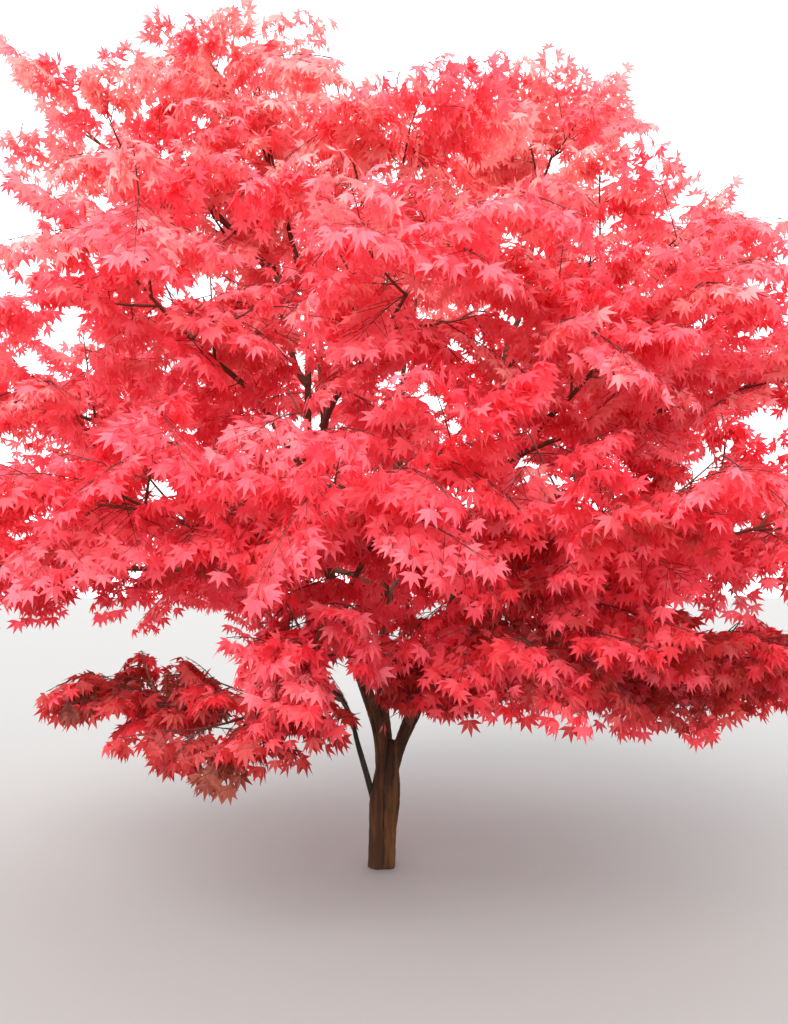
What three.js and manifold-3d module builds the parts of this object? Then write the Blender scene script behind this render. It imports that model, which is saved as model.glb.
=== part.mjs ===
// A Japanese maple in autumn leaf: a low trunk that parts into upright stems, boughs that reach out from
// them, and a broad crown of layered foliage. Millimetres, +Z up, the origin in the flat cut at ground
// level. Headings are degrees round the trunk: 0 is +X, 90 is +Y.
import * as THREE from "three";
import { mergeVertices } from "three/addons/utils/BufferGeometryUtils.js";
import Module from "manifold-3d";

const wasm = await Module();
wasm.setup();

// Driving dimensions of the wood.
const FORK_HEIGHT = 520;
const TRUNK_RADIUS = 60;
const FLARE_RADIUS = 7;
const FLARE_HEIGHT = 70;
const SWELL = 12;
const BOUGH_SHARE = 0.56;
const BOUGH_TIP_RADIUS = 11;
const STEM_TIP_RADIUS = 9;
const TWIG_RADIUS = 5.5;
const TWIG_TIP_RADIUS = 4.5;
const CLEARANCE = 0.3;

// Driving dimensions of the foliage. A leaf here is a whole spray of the real tree, so it is larger than
// life, but no longer than a share of its mass's half-width. Thickness and dome are shares of a leaf's
// length, and the tries are the shares of its full size that are tried.
const LEAF_LENGTH = 500;
const LEAF_SHARE = 0.85;
const LEAF_VARIES = 0.14;
const LEAF_THICKNESS = 0.04;
const LEAF_DOME = 0.12;
const LEAF_DROOP = [24, 62];
const LEAF_ROLL = 26;
const LEAF_TURN = 14;
const LEAF_TRIES = [1, 0.85, 0.7];
const TWIG_TRIES = [1, 0.82, 0.64, 0.46];
const TIP_SINK = 12;
const SIDE_SINK = 0.5;
const SEED = 15;

// The space of a mass: how square its edges are, how much nearer a neighbour above counts than one beside
// it, the gap between neighbours, and how far past the middle its stem runs.
const ROUNDNESS = 3;
const LAYERING = 1.3;
const SPACE_GAP = 5;
const STEM_PAST_CENTRE = 0.3;

// Joints leave slivers, and corners nearer than this to a straight edge are tidied away.
const TIDY = 0.1;

// The trunk's ribs: the stems above run on down it as rounded ridges, so its section isn't a plain circle.
const RIBS = [
  { heading: 200, stands: 0.1 },
  { heading: 330, stands: 0.16 },
  { heading: 90, stands: 0.1 },
  { heading: 265, stands: 0.05 },
];
const RIB_SHARPNESS = 6;

// The twigs of each mass: where each leaves the mass's stem, the turn of its tip from the stem's heading,
// seen from the mass's centre, and how far out and up its tip is, as shares of the mass's half-width and
// half-depth.
const TWIGS = [
  { share: 0.72, turn: 44, out: 0.52, up: 0.74 },
  { share: 0.66, turn: -42, out: 0.55, up: 0.16 },
  { share: 0.4, turn: 112, out: 0.52, up: 0.1 },
  { share: 0.34, turn: -104, out: 0.5, up: 0.8 },
  { share: 0.2, turn: 172, out: 0.3, up: 0.62 },
];

// The outline of a leaf, as polar points round the place where its veins meet: lobes and the notches
// between them, from the tip to the stalk on one side. The other side mirrors them.
const LOBES = [
  { turn: 0, length: 0.66 },
  { turn: 25, length: 0.35 },
  { turn: 50, length: 0.62 },
  { turn: 76, length: 0.33 },
  { turn: 103, length: 0.47 },
  { turn: 150, length: 0.16 },
];
const STALK = 0.34;

// Upright stems, each through the points where it shows between the leaves.
const STEMS = [
  {
    name: "left_stem",
    radius: 34,
    tip: 9,
    through: [
      [16, -6, 440],
      [-16, -28, 630],
      [-66, -60, 800],
      [-147, -150, 1055],
      [-239, -260, 1389],
      [-310, -330, 1691],
      [-313, -360, 2000],
      [-322, -410, 2500],
      [-400, -430, 2830],
    ],
  },
  {
    name: "centre_stem",
    radius: 30,
    tip: 9,
    through: [
      [30, 20, 440],
      [16, 22, 620],
      [0, 20, 793],
      [12, 70, 1089],
      [24, 160, 1400],
      [90, 260, 1900],
      [110, 380, 2400],
      [160, 480, 2700],
    ],
  },
  {
    name: "right_stem",
    radius: 31,
    tip: 9,
    through: [
      [52, -4, 430],
      [97, 0, 579],
      [153, 20, 709],
      [282, 50, 972],
      [398, 60, 1397],
      [518, 40, 1726],
      [591, 20, 2056],
      [590, 0, 2352],
      [690, 0, 2650],
      [745, 10, 3060],
    ],
  },
  {
    name: "right_back_stem",
    radius: 22,
    tip: 8,
    through: [
      [54, 24, 430],
      [112, 44, 570],
      [178, 92, 700],
      [300, 200, 960],
      [420, 340, 1350],
      [560, 480, 1800],
      [690, 580, 2120],
    ],
  },
  {
    name: "low_left_stem",
    radius: 14,
    tip: 7,
    through: [
      [-26, -8, 270],
      [-60, -30, 400],
      [-105, -70, 560],
      [-140, -120, 700],
      [-200, -240, 820],
      [-290, -400, 880],
      [-360, -540, 870],
    ],
  },
];

// The crown's tiers: the half-width and half-depth of the space of each mass in them.
const TIERS = {
  low: { spread: 380, depth: 200 },
  hem: { spread: 600, depth: 300 },
  fringe: { spread: 270, depth: 300 },
  tuft: { spread: 200, depth: 180 },
  edge: { spread: 560, depth: 300 },
  skirt: { spread: 700, depth: 465 },
  middle: { spread: 715, depth: 482 },
  upper: { spread: 710, depth: 465 },
  top: { spread: 540, depth: 440 },
  far: { spread: 540, depth: 360 },
};

// The masses of foliage, named after their tier: heading, reach from the trunk and height of each, and the
// limb that carries it, at a share of that limb's length. A mass with no share grows from that limb's tip.
const MASSES = [
  { name: "low_front_left", heading: 240, reach: 950, height: 740, on: "low_left_stem" },
  { name: "low_left", heading: 205, reach: 1100, height: 790, on: "low_left_stem", at: 0.58 },
  { name: "hem_right", heading: 350, reach: 1420, height: 930, on: "right_stem", at: 0.22 },
  { name: "fringe_front", heading: 256, reach: 960, height: 1020, on: "left_stem", at: 0.2 },
  { name: "hem_front", heading: 310, reach: 950, height: 1050, on: "right_stem", at: 0.14 },
  { name: "edge_left", heading: 188, reach: 1600, height: 1400, on: "left_stem", at: 0.32 },
  { name: "skirt_front_left", heading: 230, reach: 1250, height: 1520, on: "left_stem", at: 0.38 },
  { name: "skirt_front", heading: 272, reach: 1190, height: 1520, on: "left_stem", at: 0.28 },
  { name: "skirt_front_right", heading: 312, reach: 1290, height: 1430, on: "right_stem", at: 0.3 },
  { name: "skirt_right", heading: 348, reach: 1620, height: 1480, on: "right_stem", at: 0.34 },
  { name: "skirt_back_right", heading: 33, reach: 1400, height: 1420, on: "right_back_stem", at: 0.4 },
  { name: "skirt_back", heading: 82, reach: 1330, height: 1400, on: "centre_stem", at: 0.3 },
  { name: "skirt_back_left", heading: 134, reach: 1400, height: 1400, on: "centre_stem", at: 0.34 },
  { name: "middle_left", heading: 183, reach: 1560, height: 2090, on: "left_stem", at: 0.5 },
  { name: "middle_front_left", heading: 228, reach: 1200, height: 2260, on: "left_stem", at: 0.56 },
  { name: "middle_front", heading: 275, reach: 1080, height: 2240, on: "upper_front_bough", at: 0.3 },
  { name: "middle_front_right", heading: 318, reach: 1180, height: 2120, on: "right_stem", at: 0.48 },
  { name: "middle_right", heading: 354, reach: 1600, height: 2150, on: "right_stem", at: 0.54 },
  { name: "middle_back_right", heading: 42, reach: 1330, height: 2300, on: "right_back_stem" },
  { name: "middle_back", heading: 92, reach: 1300, height: 2280, on: "centre_stem", at: 0.58 },
  { name: "middle_back_left", heading: 140, reach: 1360, height: 2260, on: "centre_stem", at: 0.5 },
  { name: "upper_left", heading: 197, reach: 840, height: 2900, on: "left_stem", at: 0.72 },
  { name: "upper_front", heading: 276, reach: 640, height: 2890, on: "left_stem", at: 0.52 },
  { name: "upper_right", heading: 347, reach: 1200, height: 2680, on: "right_stem", at: 0.72 },
  { name: "upper_back", heading: 74, reach: 780, height: 3060, on: "centre_stem" },
  { name: "top_left", heading: 205, reach: 780, height: 3440, on: "left_stem" },
  { name: "tuft_front", heading: 292, reach: 520, height: 930, on: "right_stem", at: 0.08 },
  { name: "top_right", heading: 358, reach: 820, height: 3260, on: "right_stem" },
  { name: "far_left", heading: 190, reach: 1280, height: 3260, on: "left_stem", at: 0.86 },
];

const BARK = new THREE.MeshStandardMaterial({ color: 0x5a3d2c, roughness: 0.85, metalness: 0 });
const TWIG_BARK = new THREE.MeshStandardMaterial({ color: 0x66392c, roughness: 0.8, metalness: 0 });
const LEAF_REDS = [0xe0202e, 0xd41a30, 0xee3340, 0xc51a2a];

const UP = new THREE.Vector3(0, 0, 1);
const radians = THREE.MathUtils.degToRad;
const taper = (thick, thin) => (share) => thick + (thin - thick) * share;

// A whole-number generator, so the same seed grows the same tree anywhere.
function randomFrom(seed) {
  let state = (Math.imul(seed, 2654435761) + 12345) >>> 0;
  return () => {
    state = (Math.imul(state, 1664525) + 1013904223) >>> 0;
    return state / 4294967296;
  };
}

function polar(heading, reach, height) {
  const angle = radians(heading);
  return new THREE.Vector3(reach * Math.cos(angle), reach * Math.sin(angle), height);
}

const centreOf = (mass) => polar(mass.heading, mass.reach, mass.height);
const tierOf = (mass) => TIERS[mass.name.split("_")[0]];

function solidOf(geometry) {
  const bare = new THREE.BufferGeometry();
  bare.setAttribute("position", geometry.getAttribute("position"));
  bare.setIndex(geometry.index);
  const merged = mergeVertices(bare, 1e-4);
  return new wasm.Manifold(
    new wasm.Mesh({
      numProp: 3,
      vertProperties: new Float32Array(merged.getAttribute("position").array),
      triVerts: new Uint32Array(merged.index.array),
    }),
  );
}

function geometryOf(solid) {
  const mesh = solid.getMesh();
  const geometry = new THREE.BufferGeometry();
  geometry.setAttribute("position", new THREE.BufferAttribute(mesh.vertProperties, mesh.numProp));
  geometry.setIndex(new THREE.BufferAttribute(mesh.triVerts, 1));
  geometry.computeVertexNormals();
  return geometry;
}

// The largest body of a solid: what a cut leaves loose is dropped, and a hollow that fusing seals is
// filled.
function mainBody(solid) {
  const bodies = solid.decompose();
  return bodies.reduce((best, body) => (body.volume() > best.volume() ? body : best));
}

// A round limb: a closed cylinder whose rings are set square to a curve. girth(share) is its radius along
// it.
function limbSolid(curve, girth, sides, steps) {
  const geometry = new THREE.CylinderGeometry(1, 1, 1, sides, steps);
  const frames = curve.computeFrenetFrames(steps);
  const position = geometry.getAttribute("position");
  for (let i = 0; i < position.count; i += 1) {
    const ring = Math.round((position.getY(i) + 0.5) * steps);
    const radius = girth(ring / steps);
    const point = curve.getPointAt(ring / steps);
    point.addScaledVector(frames.normals[ring], position.getX(i) * radius);
    point.addScaledVector(frames.binormals[ring], -position.getZ(i) * radius);
    position.setXYZ(i, point.x, point.y, point.z);
  }
  return solidOf(geometry);
}

// The trunk: a leaning, fluted column with a root flare, on a flat cut at ground level. Its rings stay
// level, so the cut is flat and the ribs keep their headings.
const trunkCurve = new THREE.CatmullRomCurve3([
  new THREE.Vector3(0, 0, 0),
  new THREE.Vector3(6, 0, 130),
  new THREE.Vector3(16, 0, 300),
  new THREE.Vector3(30, 4, FORK_HEIGHT - 60),
  new THREE.Vector3(40, 8, FORK_HEIGHT + 40),
]);

function trunkGirth(share, angle) {
  const height = share * (FORK_HEIGHT + 40);
  const flare = Math.exp(-height / FLARE_HEIGHT);
  const swell = SWELL * Math.exp(-(((height - 340) / 160) ** 2));
  const close = Math.max(0, (share - 0.86) / 0.14);
  let section = 0.94;
  for (const rib of RIBS) {
    const turn = Math.cos(angle - radians(rib.heading));
    section += rib.stands * Math.exp((turn - 1) * RIB_SHARPNESS) * (1 + 0.8 * flare);
  }
  return (TRUNK_RADIUS - 10 * share + FLARE_RADIUS * flare + swell) * section * (1 - 0.42 * close ** 2);
}

function trunkSolid(extra) {
  const geometry = new THREE.CylinderGeometry(1, 1, 1, 16, 9);
  const position = geometry.getAttribute("position");
  for (let i = 0; i < position.count; i += 1) {
    const share = position.getY(i) + 0.5;
    const across = position.getX(i);
    const along = -position.getZ(i);
    const radius = trunkGirth(share, Math.atan2(along, across)) + extra;
    const centre = trunkCurve.getPointAt(share);
    const height = centre.z + (share > 0.5 ? extra : 0);
    position.setXYZ(i, centre.x + across * radius, centre.y + along * radius, height);
  }
  return solidOf(geometry);
}

const limbs = new Map();

// A limb is kept with a copy that is fatter by the clearance, which later limbs are cut with.
function addLimb(name, curve, radius, tip, sides, steps) {
  const radiusAt = (share) => radius + (tip - radius) * share ** 0.8;
  limbs.set(name, {
    curve,
    radiusAt,
    solid: limbSolid(curve, radiusAt, sides, steps),
    clear: limbSolid(curve, (share) => radiusAt(share) + CLEARANCE, sides, steps),
  });
}

for (const stem of STEMS) {
  const curve = new THREE.CatmullRomCurve3(stem.through.map((point) => new THREE.Vector3(...point)));
  addLimb(stem.name, curve, stem.radius, stem.tip, 7, 10);
}

// A bough leaves its parent along the parent's own way, swings out, and enters its mass half-way to the
// middle.
function boughCurve(mass) {
  const parent = limbs.get(mass.on);
  const root = parent.curve.getPointAt(mass.at);
  const along = parent.curve.getTangentAt(mass.at);
  const centre = centreOf(mass);
  const outward = centre.clone().sub(root);
  const level = new THREE.Vector3(outward.x, outward.y, 0).normalize();
  const steep = THREE.MathUtils.clamp(outward.z / outward.length(), -0.2, 0.9);
  const arriving = level.clone().addScaledVector(UP, 0.75 * steep).normalize();
  const entry = centre.clone().addScaledVector(arriving, -0.5 * tierOf(mass).spread);
  const bend = 0.34 * entry.distanceTo(root);
  const leaving = along.clone().multiplyScalar(0.55).addScaledVector(level, 0.6).normalize();
  return new THREE.CubicBezierCurve3(
    root,
    root.clone().addScaledVector(leaving, bend),
    entry.clone().addScaledVector(arriving, -bend),
    entry,
  );
}

const boughName = (mass) => (mass.at === undefined ? mass.on : `${mass.name}_bough`);

// A bough that carries another is grown before it.
const carriers = MASSES.map((mass) => mass.on);
const isCarrier = (mass) => carriers.includes(boughName(mass));
for (const mass of [...MASSES.filter(isCarrier), ...MASSES.filter((other) => !isCarrier(other))]) {
  if (mass.at !== undefined) {
    const radius = Math.max(BOUGH_TIP_RADIUS + 3, limbs.get(mass.on).radiusAt(mass.at) * BOUGH_SHARE);
    addLimb(boughName(mass), boughCurve(mass), radius, BOUGH_TIP_RADIUS, 5, 5);
  }
}

// Each limb is cut clear of the trunk and of every limb before it, so that they meet face to face.
const trunk = trunkSolid(0);
let wood = trunkSolid(CLEARANCE);
const limbBodies = new Map();
for (const [name, limb] of limbs) {
  limbBodies.set(name, mainBody(limb.solid.subtract(wood)).simplify(TIDY / 2));
  wood = wood.add(limb.clear);
}

// A mass keeps to its own space: a rounded block round its centre, as far as the middle between it and its
// neighbours.
const layered = (point) => new THREE.Vector3(point.x, point.y, point.z * LAYERING);
const centres = MASSES.map((mass) => layered(centreOf(mass)));

function inSpace(index, point) {
  const { spread, depth } = tierOf(MASSES[index]);
  const from = point.clone().sub(centreOf(MASSES[index]));
  if ((Math.hypot(from.x, from.y) / spread) ** ROUNDNESS + Math.abs(from.z / depth) ** ROUNDNESS > 1) {
    return false;
  }
  const here = layered(point);
  const own = here.distanceTo(centres[index]);
  return centres.every((other, i) => i === index || here.distanceTo(other) - own > SPACE_GAP);
}

const LEAF_OUTLINE = [
  ...LOBES,
  { turn: 180, length: STALK },
  ...LOBES.slice(1)
    .reverse()
    .map(({ turn, length }) => ({ turn: -turn, length })),
];

// A leaf: a thin faceted solid in its own outline, domed, so that its lobes hang below the place where its
// veins meet. Its points are the rim, from the tip round, and then the middle's upper and under side.
function leafPoints(root, forward, side, length) {
  const normal = new THREE.Vector3().crossVectors(forward, side);
  const centre = root.clone().addScaledVector(forward, STALK * length);
  const upper = centre.clone().addScaledVector(normal, 0.5 * LEAF_THICKNESS * length);
  const under = centre.clone().addScaledVector(normal, -0.5 * LEAF_THICKNESS * length);
  const rim = LEAF_OUTLINE.map(({ turn, length: share }) => {
    const reach = share * length;
    const drop = turn === 180 ? 0 : LEAF_DOME * reach;
    return centre
      .clone()
      .addScaledVector(forward, Math.cos(radians(turn)) * reach)
      .addScaledVector(side, Math.sin(radians(turn)) * reach)
      .addScaledVector(normal, -drop);
  });
  return [...rim, upper, under];
}

function leafSolid(points) {
  const count = LEAF_OUTLINE.length;
  const index = [];
  for (let i = 0; i < count; i += 1) {
    const next = (i + 1) % count;
    index.push(i, next, count);
    index.push(next, i, count + 1);
  }
  const geometry = new THREE.BufferGeometry().setFromPoints(points);
  geometry.setIndex(index);
  return solidOf(geometry);
}

// The stems of the masses grown so far, which later leaves keep clear of.
const massStems = [];

// A mass's foliage: one stem that goes on from the bough's tip, twigs to all sides of it, and on each twig
// a leaf at its tip and two behind that. The root of a leaf lies in the twig, so it is left out of the
// test of the space.
function growMass(index) {
  const mass = MASSES[index];
  const { spread, depth } = tierOf(mass);
  const leafLength = Math.min(LEAF_LENGTH, LEAF_SHARE * spread);
  const centre = centreOf(mass);
  const random = randomFrom(SEED + 101 * index);
  const between = (low, high) => low + (high - low) * random();
  const twigs = TWIGS.map(({ share, turn, out, up }) => ({
    share: share - between(0, 0.06),
    turn: turn + between(-12, 12),
    out: out * between(0.9, 1.1),
    up: up * between(0.85, 1.15),
  }));

  const bough = limbs.get(boughName(mass)).curve;
  const way = bough.getTangentAt(1);
  const start = bough.getPointAt(1).addScaledVector(way, CLEARANCE);
  const ahead = centre.clone().sub(start);
  const end = centre.clone().addScaledVector(ahead.clone().normalize(), STEM_PAST_CENTRE * spread);
  end.z += between(0.05, 0.25) * depth;
  const bend = start.clone().addScaledVector(way, 0.7 * ahead.length());
  const stem = new THREE.QuadraticBezierCurve3(start, bend, end);
  const stemSolid = limbSolid(stem, taper(BOUGH_TIP_RADIUS, STEM_TIP_RADIUS), 4, 3);
  const parts = [stemSolid.subtract(wood)];
  const leaves = [];

  const isFree = (solid) => [wood, ...massStems].every((other) => solid.intersect(other).isEmpty());

  const tryLeaf = (root, heading, droop, roll, length) => {
    const forward = polar(heading, Math.cos(droop), -Math.sin(droop));
    const side = new THREE.Vector3().crossVectors(UP, forward).normalize().applyAxisAngle(forward, roll);
    const points = leafPoints(root.clone().addScaledVector(forward, -SIDE_SINK), forward, side, length);
    if (!points.every((point, i) => i === LOBES.length || inSpace(index, point))) {
      return false;
    }
    const solid = leafSolid(points);
    if (!isFree(solid) || leaves.some((other) => !other.intersect(solid).isEmpty())) {
      return false;
    }
    leaves.push(solid);
    return true;
  };

  // A leaf is tried at its full length and then smaller, so that the edge of a space is filled too.
  const leafAt = (root, heading) => {
    const droop = radians(between(...LEAF_DROOP));
    const roll = radians(between(-LEAF_ROLL, LEAF_ROLL));
    const full = leafLength * (1 + between(-LEAF_VARIES, LEAF_VARIES));
    const turned = heading + between(-LEAF_TURN, LEAF_TURN);
    return LEAF_TRIES.some((share) => tryLeaf(root, turned, droop, roll, share * full));
  };

  // A twig is shortened until it keeps to the space and the leaf at its tip finds room.
  const growTwig = (share, heading, out, up) => {
    const root = stem.getPointAt(share);
    const reach = polar(heading, out * spread, up * depth).add(centre).sub(root);
    for (const part of TWIG_TRIES) {
      const twig = new THREE.LineCurve3(root, root.clone().addScaledVector(reach, part));
      const seat = twig.v2.clone().addScaledVector(reach, -TIP_SINK / reach.length());
      const solid = limbSolid(twig, taper(TWIG_RADIUS, TWIG_TIP_RADIUS), 3, 1);
      if (inSpace(index, twig.v2) && isFree(solid) && leafAt(seat, heading)) {
        parts.push(solid);
        leafAt(twig.getPointAt(0.66), heading + between(50, 75));
        leafAt(twig.getPointAt(0.5), heading - between(50, 75));
        return;
      }
    }
  };

  const stemWay = stem.getTangentAt(0.9);
  const heading = THREE.MathUtils.radToDeg(Math.atan2(stemWay.y, stemWay.x));
  leafAt(stem.getPointAt(1).addScaledVector(stemWay, -TIP_SINK), heading);
  for (const { share, turn, out, up } of twigs) {
    growTwig(share, heading + turn, out, up);
  }
  massStems.push(stemSolid);
  return mainBody(wasm.Manifold.union([...parts, ...leaves])).simplify(TIDY);
}

const tree = new THREE.Group();
tree.name = "japanese_maple";

function addNode(name, solid, material) {
  const mesh = new THREE.Mesh(geometryOf(solid), material);
  mesh.name = name;
  tree.add(mesh);
}

addNode("trunk", trunk, BARK);
for (const [name, solid] of limbBodies) {
  addNode(name, solid, name.endsWith("_stem") ? BARK : TWIG_BARK);
}

// The masses are grown from the top down, and each keeps clear of the stems of those above it.
const foliage = new Map();
for (let index = MASSES.length - 1; index >= 0; index -= 1) {
  foliage.set(MASSES[index].name, growMass(index));
}
MASSES.forEach((mass, index) => {
  const color = LEAF_REDS[index % LEAF_REDS.length];
  const material = new THREE.MeshStandardMaterial({ color, roughness: 0.55, metalness: 0 });
  addNode(`${mass.name}_foliage`, foliage.get(mass.name), material);
});

export default tree;
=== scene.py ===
# %% [markdown]
# # A Japanese maple in autumn leaf
#
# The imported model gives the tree's size and place: a short trunk, five upright stems, the boughs that
# leave them, and a mass of foliage at the end of each bough. Its leaves are larger than life, and its
# limbs are plain rounded bars. This script dresses that frame: real bark on the wood, and in each mass
# the finer twigs and thousands of leaves at nearly their real size. It keeps the frame's own metres.

import math

import bpy
import numpy as np
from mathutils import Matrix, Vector, noise


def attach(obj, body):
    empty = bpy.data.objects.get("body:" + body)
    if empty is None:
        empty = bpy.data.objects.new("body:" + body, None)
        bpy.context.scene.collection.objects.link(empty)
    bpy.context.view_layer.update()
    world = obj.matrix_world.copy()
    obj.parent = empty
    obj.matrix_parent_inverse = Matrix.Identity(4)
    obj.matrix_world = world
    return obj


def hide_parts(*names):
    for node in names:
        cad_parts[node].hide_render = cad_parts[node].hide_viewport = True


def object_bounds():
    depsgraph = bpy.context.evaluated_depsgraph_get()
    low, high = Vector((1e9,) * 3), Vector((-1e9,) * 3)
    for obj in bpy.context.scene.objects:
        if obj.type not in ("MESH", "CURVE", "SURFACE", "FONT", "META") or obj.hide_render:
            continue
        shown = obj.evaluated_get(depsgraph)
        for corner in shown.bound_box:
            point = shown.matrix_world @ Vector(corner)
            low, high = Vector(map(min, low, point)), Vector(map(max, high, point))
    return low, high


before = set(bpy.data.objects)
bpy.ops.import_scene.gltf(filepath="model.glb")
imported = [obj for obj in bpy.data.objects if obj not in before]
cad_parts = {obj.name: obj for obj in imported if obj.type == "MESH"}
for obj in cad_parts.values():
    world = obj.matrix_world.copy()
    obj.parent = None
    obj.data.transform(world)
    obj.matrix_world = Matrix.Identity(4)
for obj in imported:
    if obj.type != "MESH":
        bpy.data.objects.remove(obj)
cad_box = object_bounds()
scene = bpy.context.scene
print("frame:", len(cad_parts), "nodes, box", cad_box)

# %% [markdown]
# The camera stands four metres from the trunk, 1.3 metres above the ground, and looks up a little at the
# crown. A photograph's view is a focal length, a place and a tilt, and those three are worked out from
# the tree's own height and the width of its trunk, so nothing has to be shifted afterwards.

# %% Camera
FRAME_HEIGHT = 1024
FOCAL_PIXELS = 850
SENSOR = 36.0
EYE = (0.0594, -4.0, 1.3)
TILT_UP = 4.6
SIGHT = 200.0


def add_object(name, data):
    """Puts a new object with this data into the scene."""
    made = bpy.data.objects.new(name, data)
    scene.collection.objects.link(made)
    return made


camera_data = bpy.data.cameras.new("camera")
camera_data.sensor_width = SENSOR
camera_data.lens = SENSOR * FOCAL_PIXELS / FRAME_HEIGHT
camera_data.clip_end = SIGHT
camera = add_object("camera", camera_data)
camera.location = EYE
camera.rotation_euler = (math.radians(90 + TILT_UP), 0, 0)
scene.camera = camera
print("camera: lens", round(camera_data.lens, 2), "mm")

# %% [markdown]
# Shader maths reads better as plain expressions than as rows of nodes. One small class wraps a socket:
# adding or multiplying two of them adds the Math node that does it. Colours go through Mix nodes, because
# a Math node would turn them grey.


# %% Shader helpers
class Value:
    """A socket of a material, with operators that add Math nodes."""

    def __init__(self, shader, socket):
        self.shader = shader
        self.socket = socket

    def _math(self, operation, first, second):
        return self.shader.node("ShaderNodeMath", {"operation": operation}, {0: first, 1: second})

    def __add__(self, other):
        return self._math("ADD", self, other)

    def __sub__(self, other):
        return self._math("SUBTRACT", self, other)

    def __rsub__(self, other):
        return self._math("SUBTRACT", other, self)

    def __mul__(self, other):
        return self._math("MULTIPLY", self, other)

    __radd__, __rmul__ = __add__, __mul__

    def clamped(self):
        return self.shader.node("ShaderNodeClamp", {}, {"Value": self})


class Shader:
    """A material that starts with a Principled node and its output."""

    def __init__(self, name, **settings):
        self.material = bpy.data.materials.new(name)
        self.material.use_nodes = True
        self.tree = self.material.node_tree
        self.surface = self.tree.nodes["Principled BSDF"]
        for socket, value in settings.items():
            self.surface.inputs[socket.replace("_", " ")].default_value = value

    def node(self, kind, settings, values, output=0):
        """Adds a node: its settings first, then the values or links of its sockets."""
        made = self.tree.nodes.new(kind)
        for setting, value in settings.items():
            setattr(made, setting, value)
        for socket, value in values.items():
            if isinstance(value, Value):
                self.tree.links.new(value.socket, made.inputs[socket])
            else:
                made.inputs[socket].default_value = value
        return Value(self, made.outputs[output])

    def place(self):
        return self.node("ShaderNodeTexCoord", {}, {}, output="Object")

    def noise(self, scale, stretch=(1, 1, 1), detail=3.0, roughness=0.55):
        """Noise over the piece, drawn out along an axis where stretch is under 1."""
        place = self.node("ShaderNodeMapping", {}, {"Vector": self.place(), "Scale": stretch})
        values = {"Vector": place, "Scale": scale, "Detail": detail, "Roughness": roughness}
        return self.node("ShaderNodeTexNoise", {}, values)

    def attribute(self, name):
        return self.node("ShaderNodeAttribute", {"attribute_name": name}, {}, output="Fac")

    def mix(self, share, first, second):
        """A colour between two colours."""
        settings = {"data_type": "RGBA", "clamp_factor": True}
        return self.node("ShaderNodeMix", settings, {0: share, 6: first, 7: second}, output=2)

    def bump(self, height, strength, distance):
        values = {"Height": height, "Strength": strength, "Distance": distance}
        return self.node("ShaderNodeBump", {}, values)

    def feed(self, **sockets):
        """Links values to the sockets of the Principled node."""
        for socket, value in sockets.items():
            self.tree.links.new(value.socket, self.surface.inputs[socket.replace("_", " ")])
        return self.material


def colour(red, green, blue):
    """A colour as seen on a screen, 0 to 255, turned into the linear light that shaders use."""
    light = []
    for part in (red, green, blue):
        seen = part / 255
        light.append(seen / 12.92 if seen <= 0.04045 else ((seen + 0.055) / 1.055) ** 2.4)
    return (*light, 1.0)


print("shader helpers ready")

# %% [markdown]
# A studio for a tree: a plain pale floor that runs far enough for its edge to be lost, a pale sky of even
# light on all sides, and one large soft sun from the upper left, in front. Soft light from everywhere is
# what gives red foliage its glow, because every leaf is lit by its neighbours too.

# %% Floor and light
FLOOR_REACH = 60.0
FLOOR_GREY = colour(138, 137, 135)
SKY_TINT = (0.96, 0.97, 1.0, 1.0)
SKY_STRENGTH = 2.3
SUN_TINT = (1.0, 0.97, 0.93)
SUN_STRENGTH = 3.6
SUN_SOFTNESS = 50.0
SUN_FROM_ABOVE = 52
SUN_TURNED = -24

floor_mesh = bpy.data.meshes.new("floor")
corners = [(-1, -1), (1, -1), (1, 1), (-1, 1)]
floor_mesh.from_pydata([(FLOOR_REACH * x, FLOOR_REACH * y, 0) for x, y in corners], [], [(0, 1, 2, 3)])
floor_mesh.materials.append(Shader("floor_pale", Base_Color=FLOOR_GREY, Roughness=0.9).material)
floor = add_object("floor", floor_mesh)

scene.world = bpy.data.worlds.new("studio")
scene.world.use_nodes = True
sky = scene.world.node_tree.nodes["Background"].inputs
sky["Color"].default_value = SKY_TINT
sky["Strength"].default_value = SKY_STRENGTH

sun_data = bpy.data.lights.new("key_light", "SUN")
sun_data.energy = SUN_STRENGTH
sun_data.angle = math.radians(SUN_SOFTNESS)
sun_data.color = SUN_TINT
sun = add_object("key_light", sun_data)
sun.rotation_euler = (math.radians(SUN_FROM_ABOVE), 0, math.radians(SUN_TURNED))
scene.view_settings.view_transform = "Standard"
print("floor, sky and key light set")

# %% [markdown]
# The tree grows by a rule, and the frame was grown by the same one, so it is written here again, now in
# metres. First its sizes: the trunk, the stems through the points where they show between the leaves, and
# the masses with their headings round the trunk, their reach and their height.

# %% Sizes of the tree
FORK_HEIGHT = 0.52
BOUGH_SHARE = 0.56
BOUGH_TIP_RADIUS = 0.011

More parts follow.
